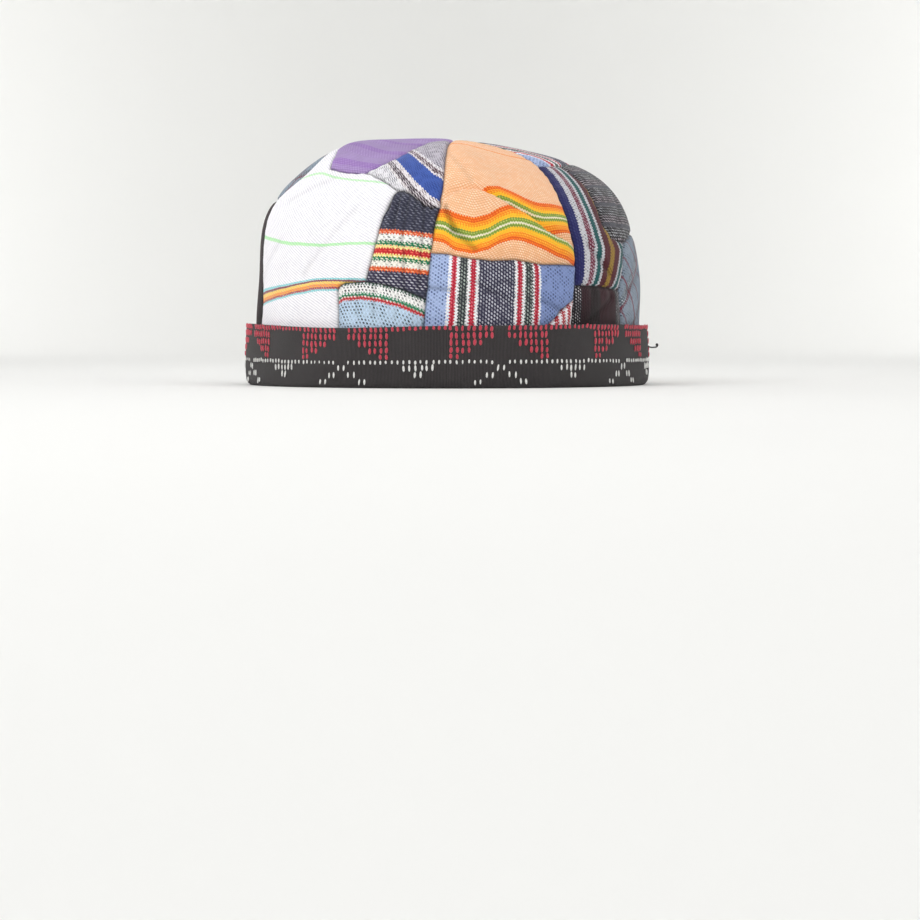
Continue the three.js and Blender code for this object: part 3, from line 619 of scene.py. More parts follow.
def outlines():
    """Sides of every patch: name, material slot, whether it meets the band, bottom, right, top and left."""
    white_pale = [(-31.6, start_up(-31.6)), (-32.2, 13.8), (-32.7, 18.4)]
    pale_top = [(-32.7, 18.4), (-32, 19.4), (-30.2, 20.2), (-24, 20.8)]
    pale_bands = [(-24, 20.8), (-19.3, 20.5), (-13.5, 19.5), (-9.2, 18.4), on_seam(SEAM_FRONT, 17.4)]
    white_bands = [(-24, 20.8), (-22.7, 26), (-21.6, 32), (-20.8, 36), (-19.3, 40), (-18, 43)]
    bands_top = [
        (-18, 43), (-16, 43.1), (-14, 42.6), (-11, 41), (-9, 39.8), (-7, 39.2), on_seam(SEAM_FRONT, 39.3),
    ]
    white_blue = [(-33, 48.8), (-30, 48.1), (-24, 45.8), (-18, 43)]
    white_lilac = [on_seam(SEAM_LEFT, 64), (-64, 59), (-55, 54), (-50.7, 49.3), (-42, 48.6), (-33, 48.8)]
    lilac_blue = [(-33, 48.8), (-29, 52), (-25.6, 55.1), (-21, 63), (-18, 71)]
    lilac_blue_top = [(-18, 71), on_seam(SEAM_FRONT, 72)]
    orange_low = [
        on_seam(SEAM_FRONT, 28.8), (-0.7, 28.8), (5.3, 28.2), (11.4, 27.8), (18.2, 28.5), (26.6, 28),
        (34, 28.4), on_seam(SEAM_RIGHT, 29),
    ]
    corner = [(25.6, start_up(25.6)), (29.6, 14), (33.2, 17.3), on_seam(SEAM_RIGHT, 20.8)]
    maroon_top = [on_seam(SEAM_RIGHT, 24.3), (43.4, 24.5), (51, 24.6), (59.6, 24.4)]
    maroon_plaid = [(60.8, start_up(60.8)), (60.6, 19.3), (59.6, 24.4)]
    narrow_plaid = [(59.6, 24.4), (62.5, 28.5), (66.5, 36)]
    narrow_black = [(66.5, 36), (58, 37), (55, 40.2), (55.5, 43.5), (57.5, 50), (58.5, 60)]
    plaid_top = [(66.5, 36), (80, 38.6), on_seam(SEAM_BACK_RIGHT, 40)]
    narrow_top = [on_seam(SEAM_RIGHT, 60), (58.5, 60)]
    black_top = [(58.5, 60), (76, 61.5), on_seam(SEAM_BACK_RIGHT, 60)]
    back_split = [(128, start_up(128)), (126.5, 20), (129, 34)]
    back_low_a = [on_seam(SEAM_BACK_RIGHT, 36), (112, 35.6), (129, 34)]
    back_low_b = [(129, 34), (143, 31.5), on_seam(SEAM_BACK, 31)]
    back_low = [on_seam(SEAM_BACK, 27), (175, 25.6), (198, 26.5), on_seam(SEAM_BACK_LEFT, 28)]
    back_mid = [on_seam(SEAM_BACK, 52), (176, 54), (198, 53), on_seam(SEAM_BACK_LEFT, 51)]
    left_split = [(249, start_up(249)), (250, 24), (247, 42)]
    left_top_a = [on_seam(SEAM_BACK_LEFT, 40), (232, 41), (247, 42)]
    left_top_b = [(247, 42), (264, 41), on_seam(SEAM_LEFT, 40, 360)]
    foot = {seam: seam_from_band(seam, 30)[0][0] for seam in GORE_SEAMS}
    return (
        ("front_left_white", "cloth_white", True, band_edge(foot[SEAM_LEFT], -31.6),
         chain(white_pale, pale_top, white_bands), chain(white_lilac, white_blue),
         seam_from_band(SEAM_LEFT, 64)),
        ("front_left_pale_blue", "cloth_pale_blue", True, band_edge(-31.6, foot[SEAM_FRONT]),
         seam_from_band(SEAM_FRONT, 17.4), chain(pale_top, pale_bands), white_pale),
        ("front_left_bands", "cloth_bands", False, pale_bands, seam_part(SEAM_FRONT, 17.4, 39.3), bands_top,
         white_bands),
        ("front_left_blue_twill", "cloth_blue_twill", False, chain(white_blue, bands_top),
         seam_part(SEAM_FRONT, 39.3, 72), lilac_blue_top, lilac_blue),
        ("front_left_lilac", "cloth_lilac", False, white_lilac[3:],
         chain(lilac_blue, lilac_blue_top, seam_part(SEAM_FRONT, 72, TIP_UP)), tip(SEAM_LEFT, SEAM_FRONT),
         chain(white_lilac[3::-1], seam_part(SEAM_LEFT, 64, TIP_UP))),
        ("front_right_orange", "cloth_orange", False, orange_low, seam_part(SEAM_RIGHT, 29, TIP_UP),
         tip(SEAM_FRONT, SEAM_RIGHT), seam_part(SEAM_FRONT, 28.8, TIP_UP)),
        ("front_right_upright", "cloth_upright", True, band_edge(foot[SEAM_FRONT], 25.6),
         chain(corner, seam_part(SEAM_RIGHT, 20.8, 29)), orange_low, seam_from_band(SEAM_FRONT, 28.8)),
        ("front_right_corner", "cloth_corner", True, band_edge(25.6, foot[SEAM_RIGHT]),
         seam_from_band(SEAM_RIGHT, 20.8), corner[1:], corner[:2]),
        ("right_maroon", "cloth_maroon", True, band_edge(foot[SEAM_RIGHT], 60.8), maroon_plaid, maroon_top,
         seam_from_band(SEAM_RIGHT, 24.3)),
        ("right_narrow_stripes", "cloth_narrow", False, maroon_top, chain(narrow_plaid, narrow_black),
         narrow_top, seam_part(SEAM_RIGHT, 24.3, 60)),
        ("right_plaid", "cloth_plaid", True, band_edge(60.8, foot[SEAM_BACK_RIGHT]),
         seam_from_band(SEAM_BACK_RIGHT, 40), plaid_top, chain(maroon_plaid, narrow_plaid)),
        ("right_black_white", "cloth_black_white", False, plaid_top, seam_part(SEAM_BACK_RIGHT, 40, 60),
         black_top, narrow_black),
        ("right_top", "cloth_upright", False, chain(narrow_top, black_top),
         seam_part(SEAM_BACK_RIGHT, 60, TIP_UP), tip(SEAM_RIGHT, SEAM_BACK_RIGHT),
         seam_part(SEAM_RIGHT, 60, TIP_UP)),
        ("back_right_bands", "cloth_bands", True, band_edge(foot[SEAM_BACK_RIGHT], 128), back_split,
         back_low_a, seam_from_band(SEAM_BACK_RIGHT, 36)),
        ("back_right_white", "cloth_white", True, band_edge(128, foot[SEAM_BACK]),
         seam_from_band(SEAM_BACK, 31), back_low_b, back_split),
        ("back_right_orange", "cloth_orange", False, chain(back_low_a, back_low_b),
         seam_part(SEAM_BACK, 31, TIP_UP), tip(SEAM_BACK_RIGHT, SEAM_BACK),
         seam_part(SEAM_BACK_RIGHT, 36, TIP_UP)),
        ("back_low_upright", "cloth_upright", True, band_edge(foot[SEAM_BACK], foot[SEAM_BACK_LEFT]),
         seam_from_band(SEAM_BACK_LEFT, 28), back_low, seam_from_band(SEAM_BACK, 27)),
        ("back_middle_black_white", "cloth_black_white", False, back_low, seam_part(SEAM_BACK_LEFT, 28, 51),
         back_mid, seam_part(SEAM_BACK, 27, 52)),
        ("back_top_lilac", "cloth_lilac", False, back_mid, seam_part(SEAM_BACK_LEFT, 51, TIP_UP),
         tip(SEAM_BACK, SEAM_BACK_LEFT), seam_part(SEAM_BACK, 52, TIP_UP)),
        ("back_left_narrow_stripes", "cloth_narrow", True, band_edge(foot[SEAM_BACK_LEFT], 249), left_split,
         left_top_a, seam_from_band(SEAM_BACK_LEFT, 40)),
        ("back_left_maroon", "cloth_maroon", True, band_edge(249, foot[SEAM_LEFT] + 360),
         seam_from_band(SEAM_LEFT, 40, 360), left_top_b, left_split),
        ("back_left_plaid", "cloth_plaid", False, chain(left_top_a, left_top_b),
         seam_part(SEAM_LEFT, 40, TIP_UP, 360), tip(SEAM_BACK_LEFT, SEAM_LEFT, 360),
         seam_part(SEAM_BACK_LEFT, 40, TIP_UP)),
    )


def stretch_lengths(side):
    """Lengths of a side's stretches, in millimetres."""
    points = crown_points(*np.array(side, float).T, fine=False)
    return np.linalg.norm(np.diff(points, axis=0), axis=1)


def divide(side, cells, edge=0.3):
    """Places along a side, its corners kept and a close row at each end."""
    lengths = stretch_lengths(side)
    counts = np.ones(len(lengths), int)
    for _ in range(cells - len(counts)):
        counts[np.argmax(lengths / counts)] += 1
    side = np.array(side, float)
    places = [side[0]]
    for i, count in enumerate(counts):
        for step in range(1, count + 1):
            places.append(side[i] + (side[i + 1] - side[i]) * step / count)
    places = np.array(places)
    first = places[0] + (places[1] - places[0]) * edge
    last = places[-1] + (places[-2] - places[-1]) * edge
    return np.vstack([places[:1], first[None], places[1:-1], last[None], places[-1:]])


def fill_sides(bottom, right, top, left, cell):
    """Grid of places between four sides, as rows x columns x 2."""
    def cells(*sides):
        return max(max(len(s) - 1, math.ceil(stretch_lengths(s).sum() / cell)) for s in sides)
    across = cells(bottom, top)
    tall = cells(left, right)
    low, high = divide(bottom, across), divide(top, across)
    near, far = divide(left, tall), divide(right, tall)

    def shares(line):
        lengths = np.linalg.norm(np.diff(crown_points(*line.T, fine=False), axis=0), axis=1)
        return np.concatenate([[0], np.cumsum(lengths)]) / max(lengths.sum(), 1e-9)
    u = ((shares(low) + shares(high)) / 2)[None, :, None]
    v = ((shares(near) + shares(far)) / 2)[:, None, None]
    return (
        (1 - v) * low[None] + v * high[None] + (1 - u) * near[:, None] + u * far[:, None]
        - (1 - u) * (1 - v) * low[0] - u * (1 - v) * low[-1] - (1 - u) * v * high[0] - u * v * high[-1]
    )


def edge_distance(points, meets_band):
    """Distance of each grid point to the nearest sewn side, and the place along that side."""
    rows, columns = points.shape[:2]
    ring = [points[:, -1], points[-1, ::-1], points[::-1, 0]]
    if not meets_band:
        ring.append(points[0])
    line = np.concatenate(ring)
    along = np.concatenate([[0], np.cumsum(np.linalg.norm(np.diff(line, axis=0), axis=1))])
    flat = points.reshape(-1, 3)
    distance = np.empty(len(flat))
    place = np.empty(len(flat))
    for start in range(0, len(flat), CHUNK):
        span = slice(start, start + CHUNK)
        gaps = np.linalg.norm(flat[span][:, None] - line[None], axis=2)
        nearest = gaps.argmin(1)
        distance[span] = gaps[np.arange(len(gaps)), nearest]
        place[span] = along[nearest]
    return distance.reshape(rows, columns), place.reshape(rows, columns)


def arc_at(around, up):
    """Length along the crown's meridian from the rim, in millimetres."""
    ups = np.linspace(0, 90, 181)
    points = crown_points(np.full(181, around), ups, fine=False)
    length = np.concatenate([[0], np.cumsum(np.linalg.norm(np.diff(points, axis=0), axis=1))])
    return np.interp(up, ups, length)


def across_at(around, middle, up):
    """Length round the crown from a meridian, in millimetres."""
    radius = np.linalg.norm(crown_points(np.full(np.shape(up), middle), up, fine=False)[..., :2], axis=-1)
    return np.radians(around - middle) * radius


def level_chart(around, up, middle, base=0.0):
    """Cloth places of a patch whose stripes lie level."""
    return across_at(around, middle, up), arc_at(middle, up) - arc_at(middle, base)


def cloth_place(name, around, up):
    """Place on the flat cloth: along its stripes, and across them, in millimetres."""
    middle = CLOTH_MIDDLE.get(name, float(np.mean(around)))
    if name == "front_left_white":
        return across_at(around, middle, up), between_lines(around, up, WHITE_MIDDLE, WHITE_LINES)
    if name in CLOTH_LINES:
        line, share = CLOTH_LINES[name]
        over = arc_at(middle, up) - arc_at(middle, table_at(line, around))
        return across_at(around, middle, up), over * share
    if name == "front_left_bands":
        return level_chart(around, up, middle, BANDS_START)
    if name in CLOTH_UPRIGHT:
        start, wide = CLOTH_UPRIGHT[name]
        return arc_at(middle, up), (around - start) * wide
    if name == "right_narrow_stripes":
        tight = table_at(NARROW_TIGHT, up)
        return arc_at(middle, up), (around - seam_round(SEAM_RIGHT, up)) * NARROW_WIDE / tight
    along, over = level_chart(around, up, middle)
    if name in STANDING:
        return over, along - along.min()
    return along, over - CLOTH_SHIFT.get(name, 0)


def between_lines(around, up, middle, lines):
    """Place across the cloth, from lines of the crown that lie at known places of the cloth."""
    here = arc_at(middle, up)
    marks = [mark for mark, _ in lines]
    arcs = [arc_at(middle, table_at(line, around)) for _, line in lines]
    place = marks[0] + here - arcs[0]
    for i in range(1, len(lines)):
        share = (here - arcs[i - 1]) / (arcs[i] - arcs[i - 1])
        place = np.where(share > 0, marks[i - 1] + share * (marks[i] - marks[i - 1]), place)
    return np.where(here > arcs[-1], marks[-1] + here - arcs[-1], place)


def orange_places(around, up):
    """Cloth places of the orange patch below and above its fold."""
    middle = CLOTH_MIDDLE["front_right_orange"]
    along = across_at(around, middle, up)
    here = arc_at(middle, up)
    low = here - arc_at(middle, table_at(STRIPE_LOW, around))
    above = up - table_at(FOLD_LIP, around)
    plain = table_at(STRIPE_PLAIN, around)
    bent = (table_at(STRIPE_HIGH, around) - plain) * bell(np.maximum(above, 0), STRIPE_FADE)
    return along, low, (here - arc_at(middle, plain + bent)) * STRIPE_TIGHT


class Sum:
    """A shader value that can be used in Python sums."""

    def __init__(self, tree, socket):
        self.tree = tree
        self.socket = socket

    def _math(self, kind, *values):
        return self.tree.add("ShaderNodeMath", {"operation": kind}, dict(enumerate(values)))

    def __add__(self, other):
        return self._math("ADD", self, other)

    def __sub__(self, other):
        return self._math("SUBTRACT", self, other)

    def __mul__(self, other):
        return self._math("MULTIPLY", self, other)

    def __truediv__(self, other):
        return self._math("DIVIDE", self, other)

    def __radd__(self, other):
        return self._math("ADD", other, self)

    def __rsub__(self, other):
        return self._math("SUBTRACT", other, self)

    def __rmul__(self, other):
        return self._math("MULTIPLY", other, self)

    def floor(self):
        return self._math("FLOOR", self)

    def fract(self):
        return self._math("FRACT", self)

    def abs(self):
        return self._math("ABSOLUTE", self)

    def power(self, other):
        return self._math("POWER", self, other)

    def ramp(self, low, high, start=0.0, end=1.0):
        values = {0: self, 1: low, 2: high, 3: start, 4: end}
        return self.tree.add("ShaderNodeMapRange", {"interpolation_type": "SMOOTHSTEP"}, values)


class Tree:
    """Adds nodes to a material's tree."""

    def __init__(self, name, roughness=0.9, sheen=0.25):
        self.material = bpy.data.materials.new(name)
        self.material.use_nodes = True
        self.nodes = self.material.node_tree.nodes
        self.links = self.material.node_tree.links
        self.shader = self.nodes["Principled BSDF"]
        self.shader.inputs["Roughness"].default_value = roughness
        self.shader.inputs["Sheen Weight"].default_value = sheen
        self.shader.inputs["Sheen Roughness"].default_value = 0.6
        self.shader.inputs["Specular IOR Level"].default_value = 0.25

    def add(self, kind, settings=None, inputs=None, out=0):
        node = self.nodes.new(kind)
        for key, value in (settings or {}).items():
            setattr(node, key, value)
        for key, value in (inputs or {}).items():
            self.plug(node.inputs[key], value)
        return Sum(self, node.outputs[out])

    def plug(self, socket, value):
        if isinstance(value, Sum):
            self.links.new(value.socket, socket)
        else:
            socket.default_value = value

    def split(self, value):
        node = value.tree.nodes.new("ShaderNodeSeparateXYZ")
        self.links.new(value.socket, node.inputs[0])
        return [Sum(self, output) for output in node.outputs]

    def mix(self, factor, first, second, kind="MIX"):
        settings = {"data_type": "RGBA", "blend_type": kind}
        return self.add("ShaderNodeMix", settings, {0: factor, 6: first, 7: second}, out=2)

    def colours(self, factor, stops):
        """A stepped colour ramp: rows of place and colour."""
        node = self.nodes.new("ShaderNodeValToRGB")
        node.color_ramp.interpolation = "CONSTANT"
        elements = node.color_ramp.elements
        elements[0].position, elements[0].color = stops[0]
        elements.remove(elements[1])
        for place, colour in stops[1:]:
            elements.new(place).color = colour
        self.links.new(factor.socket, node.inputs[0])
        return Sum(self, node.outputs[0])

    def noise(self, scale, detail=3.0, vector=None):
        inputs = {"Scale": scale, "Detail": detail}
        if vector is None:
            vector = self.add("ShaderNodeTexCoord", out=3)
        inputs["Vector"] = vector
        return self.add("ShaderNodeTexNoise", None, inputs)

    def shaded(self, colour, light):
        """A colour made lighter or darker by a value."""
        grey = self.add("ShaderNodeCombineXYZ", None, {0: light, 1: light, 2: light})
        return self.mix(1.0, colour, grey, "MULTIPLY")

    def finish(self, colour, height, strength, distance):
        inputs = {"Strength": strength, "Distance": distance, "Height": height}
        bump = self.add("ShaderNodeBump", None, inputs)
        self.plug(self.shader.inputs["Normal"], bump)
        self.plug(self.shader.inputs["Base Color"], colour)
        return self.material


def cloth_material(slot, settings):
    """A woven cloth: bands of yarn, dots of the crossing yarn, the weave's relief as bumps and as painted
    shade, and painted shade along seams and creases.
    """
    spec = CLOTHS[slot]
    tree = Tree(slot, roughness=settings.roughness, sheen=settings.sheen)
    place = tree.add("ShaderNodeUVMap", {"uv_map": "cloth"})
    along, across, _ = tree.split(place)
    if "turn" in spec:
        angle = math.radians(spec["turn"])
        along, across = (
            along * math.cos(angle) + across * math.sin(angle),
            across * math.cos(angle) - along * math.sin(angle),
        )
    wander = tree.noise(WANDER_SCALE, 2.0) - 0.5
    tooth = ((along / spec.get("tooth_pitch", 1.4)).fract() - 0.5).abs() * 4 - 1
    stepped = across + tooth * spec.get("tooth", 0.15) + wander * 0.7
    total = sum(row[0] for row in spec["bands"])
    at = ((stepped - spec["start"]) / total).fract()
    yarn, dots, reached = [], [], 0.0
    for width, yarn_colour, dot_colour in spec["bands"]:
        yarn.append((reached / total, linear(yarn_colour)))
        dots.append((reached / total, linear(dot_colour)))
        reached += width
    yarn = tree.colours(at, yarn)
    dots = tree.colours(at, dots)
    wide, tall = spec.get("cell", (1.45, 1.05))
    wide, tall = wide * settings.weave, tall * settings.weave
    row = (across / tall).floor()
    in_row = (across / tall).fract() - 0.5
    in_cell = (along / wide + row * 0.5 + in_row * spec.get("slant", 0.35)).fract() - 0.5
    far = (in_cell * in_cell * 7.4 + in_row * in_row * 6.6).power(0.5) * (1 / spec.get("grow", 1.0))
    dot = far.ramp(0.55, 0.95, 1.0, 0.0)
    uneven = tree.noise(UNEVEN_SCALE, 3.0).ramp(0.36, 0.62, 0.25, 1.0)
    colour = tree.mix(dot * spec.get("dots", 0.5) * uneven, yarn, dots)
    # The weave's relief is both a bump height and painted shade in the grooves between yarn rows
    relief = 1 - in_row * in_row * 3.2 - in_cell * in_cell * 1.4
    if "twill" in spec:
        pitch, slope, tone = spec["twill"]
        line = ((along * slope + across + wander * 0.8) / pitch).fract() - 0.5
        groove = (line * line).ramp(0.0, 0.09, 1.0, 0.0)
        broken = tree.noise(BROKEN_SCALE, 2.0).ramp(0.35, 0.65, 0.3, 1.0)
        colour = tree.mix(groove * broken * tone * 2.2, colour, linear(TWILL_SHADE))
        relief = 0.9 - groove * 0.55
    if "rib" in spec:
        pitch, tone = spec["rib"]
        line = ((along + wander * 1.2) / pitch).fract() - 0.5
        groove = (line * line).ramp(0.0, 0.02, 1.0, 0.0) * tree.noise(RIB_SCALE, 2.0).ramp(0.4, 0.6)
        relief = relief - groove * tone * 3
    if "cross" in spec:
        rows = spec["cross"]
        span = sum(width for width, _ in rows)
        stops, reached = [], 0.0
        for width, tone in rows:
            stops.append((reached / span, (tone, tone, tone, 1.0)))
            reached += width
        bars = tree.colours(((along + tooth * 0.3) / span).fract(), stops)
        colour = tree.mix(bars, colour, linear(spec["cross_colour"]))
    cloudy = tree.noise(CLOUD_SCALE, 4.0) - 0.5
    fuzz = tree.noise(FUZZ_SCALE, 2.0)
    light = 1 + cloudy * (spec.get("mottle", 0.04) * 4) + (fuzz - 0.5) * 0.22
    # Painted shade: the colour darkens where the relief is low, between yarn rows, on twill lines and
    # between ribs
    shade = relief.ramp(-0.1, 0.9, 0.8, 1.05) * light
    # Painted shade: the cloth darkens towards its sunk seams and in its creases
    edge = tree.add("ShaderNodeAttribute", {"attribute_name": "edge"}, out=2)
    shade = shade * edge.ramp(0.0, SEAM_SHADE_WIDE, 0.5, 1.0)
    colour = tree.shaded(colour, shade)
    rough = settings.roughness + (fuzz - 0.5) * 0.12
    tree.plug(tree.shader.inputs["Roughness"], rough)
    return tree.finish(colour, relief + fuzz * 0.5, 0.55, settings.relief * MM)


def knit_material(settings):
    """Fine upright ribs of a dark knitted band, with painted shade between the ribs and stitches and a
    lighter, lit colour on the ribs.
    """
    tree = Tree("cuff_knit", roughness=0.93, sheen=0.08)
    place = tree.add("ShaderNodeUVMap", {"uv_map": "cloth"})
    along, across, _ = tree.split(place)
    wander = tree.noise(KNIT_WANDER_SCALE, 2.0) - 0.5
    rib = (((along + wander * 0.35) / settings.rib).fract() - 0.5).abs() * 2
    stitch = ((across / (settings.rib * 0.8) + rib * 0.5).fract() - 0.5).abs() * 2
    fuzz = tree.noise(KNIT_FUZZ_SCALE, 3.0)
    cloudy = tree.noise(KNIT_CLOUD_SCALE, 3.0) - 0.5
    relief = 1 - rib * rib * 0.9 - stitch * 0.2 + fuzz * 0.35
    # Painted shade and light: the colour darkens between the ribs and stitches and is lighter on the ribs
    shade = relief.ramp(0.1, 1.1, 0.0, 1.0)
    colour = tree.mix(shade, tuple(settings.knit_shaded), tuple(settings.knit_lit))
    light = 1 + cloudy * 0.35 + (fuzz - 0.5) * 0.4
    colour = tree.shaded(colour, light)
    return tree.finish(colour, relief, 0.6, 0.35 * MM)


def yarn_material(name, colour):
    """A soft twisted yarn, with painted shade in the grooves of its twist."""
    tree = Tree(name, roughness=0.85, sheen=0.3)
    place = tree.add("ShaderNodeTexCoord", out=3)
    x, y, z = tree.split(place)
    twist = (((x + y) * 700 + z * 1500).fract() - 0.5).abs() * 2
    fuzz = tree.noise(YARN_FUZZ_SCALE, 2.0, place)
    base = tuple(colour)
    # Painted shade: a darker copy of the yarn colour lies in the grooves of the twist, where the bump is low
    dark = [c * 0.55 for c in base[:3]] + [1.0]
    tone = (twist * 0.6 + fuzz * 0.6).ramp(0.1, 0.9, 0.0, 1.0)
    return tree.finish(tree.mix(tone, dark, base), twist + fuzz, 0.4, 0.2 * MM)


def new_object(name, vertices, faces, material, smooth=True):
    """A mesh object in the scene, its vertices given in millimetres."""
    mesh = bpy.data.meshes.new(name)
    mesh.from_pydata((np.asarray(vertices) * MM).tolist(), [], [list(face) for face in faces])
    mesh.materials.append(material)
    if smooth:
        mesh.polygons.foreach_set("use_smooth", [True] * len(mesh.polygons))
    mesh.update()
    thing = bpy.data.objects.new(name, mesh)
    bpy.context.scene.collection.objects.link(thing)
    return thing


def grid_faces(rows, columns, start=0, flip=False):
    """Quads of a grid of points."""
    first = start + np.arange((rows - 1) * columns).reshape(rows - 1, columns)[:, :-1].ravel()
    quads = np.stack([first, first + 1, first + columns + 1, first + columns], axis=1)
    return quads[:, ::-1] if flip else quads


def add_uv(mesh, uv, per_corner=None):
    """Gives a mesh its cloth map, by vertex or by corner."""
    layer = mesh.uv_layers.new(name="cloth")
    corner = np.empty(len(mesh.loops), np.int32)
    mesh.loops.foreach_get("vertex_index", corner)
    values = uv[corner] if per_corner is None else per_corner(corner)
    layer.data.foreach_set("uv", values.astype(np.float32).ravel())


def build_patch(name, meets_band, sides, material, settings):
    """One cloth patch: a thick shell with sunk, puckered edges."""
    grid = fill_sides(*sides, settings.cell)
    rows, columns = grid.shape[:2]
    around, up = grid[..., 0], grid[..., 1]
    plain = crown_points(around, up, fine=False)
    distance, along = edge_distance(plain, meets_band)
    normal = crown_normals(around, up)
    seed = sum(ord(letter) for letter in name)
    wave = np.sin(along / 1.05 + seed + 1.3 * np.sin(along / 9.0)) + 0.6 * np.sin(along / 2.3 + seed * 1.7)
    sink = -settings.seam_depth * bell(distance, SEAM_NARROW) - SEAM_WIDE_DEPTH * bell(distance, SEAM_WIDE)
    pucker = settings.pucker * wave * bell(distance - PUCKER_AT, PUCKER_WIDE)
    if name == "front_left_bands":
        fall = np.clip((up - GATHER_FROM) / (GATHER_TO - GATHER_FROM), 0, 1)
        turn = across_at(around, CLOTH_MIDDLE[name], up) * GATHER_TURNS + 0.8 * np.sin(up * 0.6)
        pucker = pucker + GATHER_DEPTH * np.sin(turn) * fall
    crease = crease_out(name, around, up)
    outer = crown_points(around, up) + normal * (sink + pucker + crease)[..., None]
    inner = outer - normal * CLOTH_THICK
    if meets_band:
        outer[0, :, 2] = CROWN_START
        inner[0, :, 2] = CROWN_START
    count = rows * columns
    vertices = np.concatenate([outer.reshape(-1, 3), inner.reshape(-1, 3)])
    index = np.arange(count).reshape(rows, columns)
    ring = np.concatenate([index[0], index[1:, -1], index[-1, -2::-1], index[-2:0:-1, 0]])
    nexts = np.roll(ring, -1)
    walls = np.stack([ring, ring + count, nexts + count, nexts], axis=1)
    faces = np.concatenate([grid_faces(rows, columns), grid_faces(rows, columns, count, flip=True), walls])
    piece = new_object(name + "_cloth", vertices, faces, material)
    mesh = piece.data
    # The edge attribute holds painted shade, darkest along the sunk seams and in the creases
    edge = mesh.attributes.new("edge", "FLOAT", "POINT")
    seam_crease_shade = np.minimum(distance, np.maximum(SEAM_SHADE_WIDE + crease * CREASE_SHADE, 0))
    edge.data.foreach_set("value", np.tile(seam_crease_shade.ravel(), 2).astype(np.float32))
    if name == "front_right_orange":
        u, low, high = orange_places(around, up)
        u, low, high = (np.tile(value.ravel(), 2) for value in (u, low, high))
        above = np.tile((up - table_at(FOLD_LIP, around)).ravel(), 2)

        def fold_corners(corner):
            totals = np.array([p.loop_total for p in mesh.polygons])
            face_of = np.repeat(np.arange(len(totals)), totals)
            mean = np.bincount(face_of, above[corner]) / totals
            side = mean[face_of] > 0
            return np.stack([u[corner], np.where(side, high[corner], low[corner])], axis=1)
        add_uv(mesh, None, fold_corners)
    else:
        u, v = cloth_place(name, around, up)
        add_uv(mesh, np.tile(np.stack([u.ravel(), v.ravel()], axis=1), (2, 1)))
    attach(piece, "root")
    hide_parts(name)
    return piece


def cuff_rise(around, up):
    """How much the cuff's upper edge stands higher or lower than its section."""
    share = np.clip((up - CUFF_FOLD_UP) / (CROWN_START - CUFF_FOLD_UP), 0, 1)
    return sum(rise * bell(turn_between(at, around), wide) for at, wide, rise in CUFF_WAVE) * share


def cuff_oval(around):
    """Distance of the band's oval from the middle."""
    angle = np.radians(around)
    return 1 / np.hypot(np.sin(angle) / CUFF_SIDE, np.cos(angle) / CUFF_DEPTH)


def cuff_outline(steps):
    """Softened section of the cuff: out, height and how much it belongs to the outer leaf."""
    rows = np.array(CUFF_SECTION, float)
    leaf = np.array([1.0 if CUFF_LEAF[0] <= i <= CUFF_LEAF[1] else 0.0 for i in range(len(rows))])
    lengths = np.linalg.norm(np.diff(np.vstack([rows, rows[:1]]), axis=0), axis=1)
    at = np.concatenate([[0], np.cumsum(lengths)])
    closed = np.vstack([np.column_stack([rows, leaf]), [*rows[0], leaf[0]]])
    share = np.linspace(0, at[-1], steps, endpoint=False)
    section = np.stack([np.interp(share, at, closed[:, i]) for i in range(3)], axis=1)
    for _ in range(2):
        section = (np.roll(section, 1, 0) + 2 * section + np.roll(section, -1, 0)) / 4
    return section, share


def build_cuff(material, settings):
    """The knitted band, folded up once."""
    section, share = cuff_outline(settings.section_steps)
    around = np.linspace(0, 360, settings.round_steps, endpoint=False)[:, None]
    out, up, leaf = section[None, :, 0], section[None, :, 1], section[None, :, 2]
    soft = 0.22 * np.sin(np.radians(around * 9 + up * 6))
    soft = soft + 0.18 * np.sin(np.radians(around * 17 - up * 9 + 50))
    radius = cuff_oval(around) + out + soft * leaf * np.clip(up / 6, 0, 1)
    z = np.maximum(up + cuff_rise(around, up) * leaf, 0.0)
    z = np.where((up < 0.25) & (z < 0.25), 0.0, z)
    angle = np.radians(around)
    points = np.stack([radius * np.sin(angle), -radius * np.cos(angle), z], axis=-1)
    rows, columns = points.shape[:2]
    index = np.arange(rows * columns).reshape(rows, columns)
    right = np.roll(index, -1, 1)
    quads = np.stack([index, np.roll(index, -1, 0), np.roll(right, -1, 0), right], axis=-1).reshape(-1, 4)
    piece = new_object("cuff_knitted", points.reshape(-1, 3), quads, material)
    girth = math.tau * (CUFF_SIDE + CUFF_DEPTH) / 2

    def tube_corners(corner):
        step, place = corner // columns, corner % columns
        step = step.reshape(-1, 4)
        wrap = step.max(1, keepdims=True) - step > rows // 2
        turns = (step + wrap * rows) / rows
        spots = place.reshape(-1, 4)
        past = spots.max(1, keepdims=True) - spots > columns // 2
        length = share[spots] + past * (share[-1] + share[1])
        return np.stack([turns.ravel() * girth, length.ravel()], axis=1)
    add_uv(piece.data, None, tube_corners)
    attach(piece, "root")
    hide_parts("cuff")
    return piece


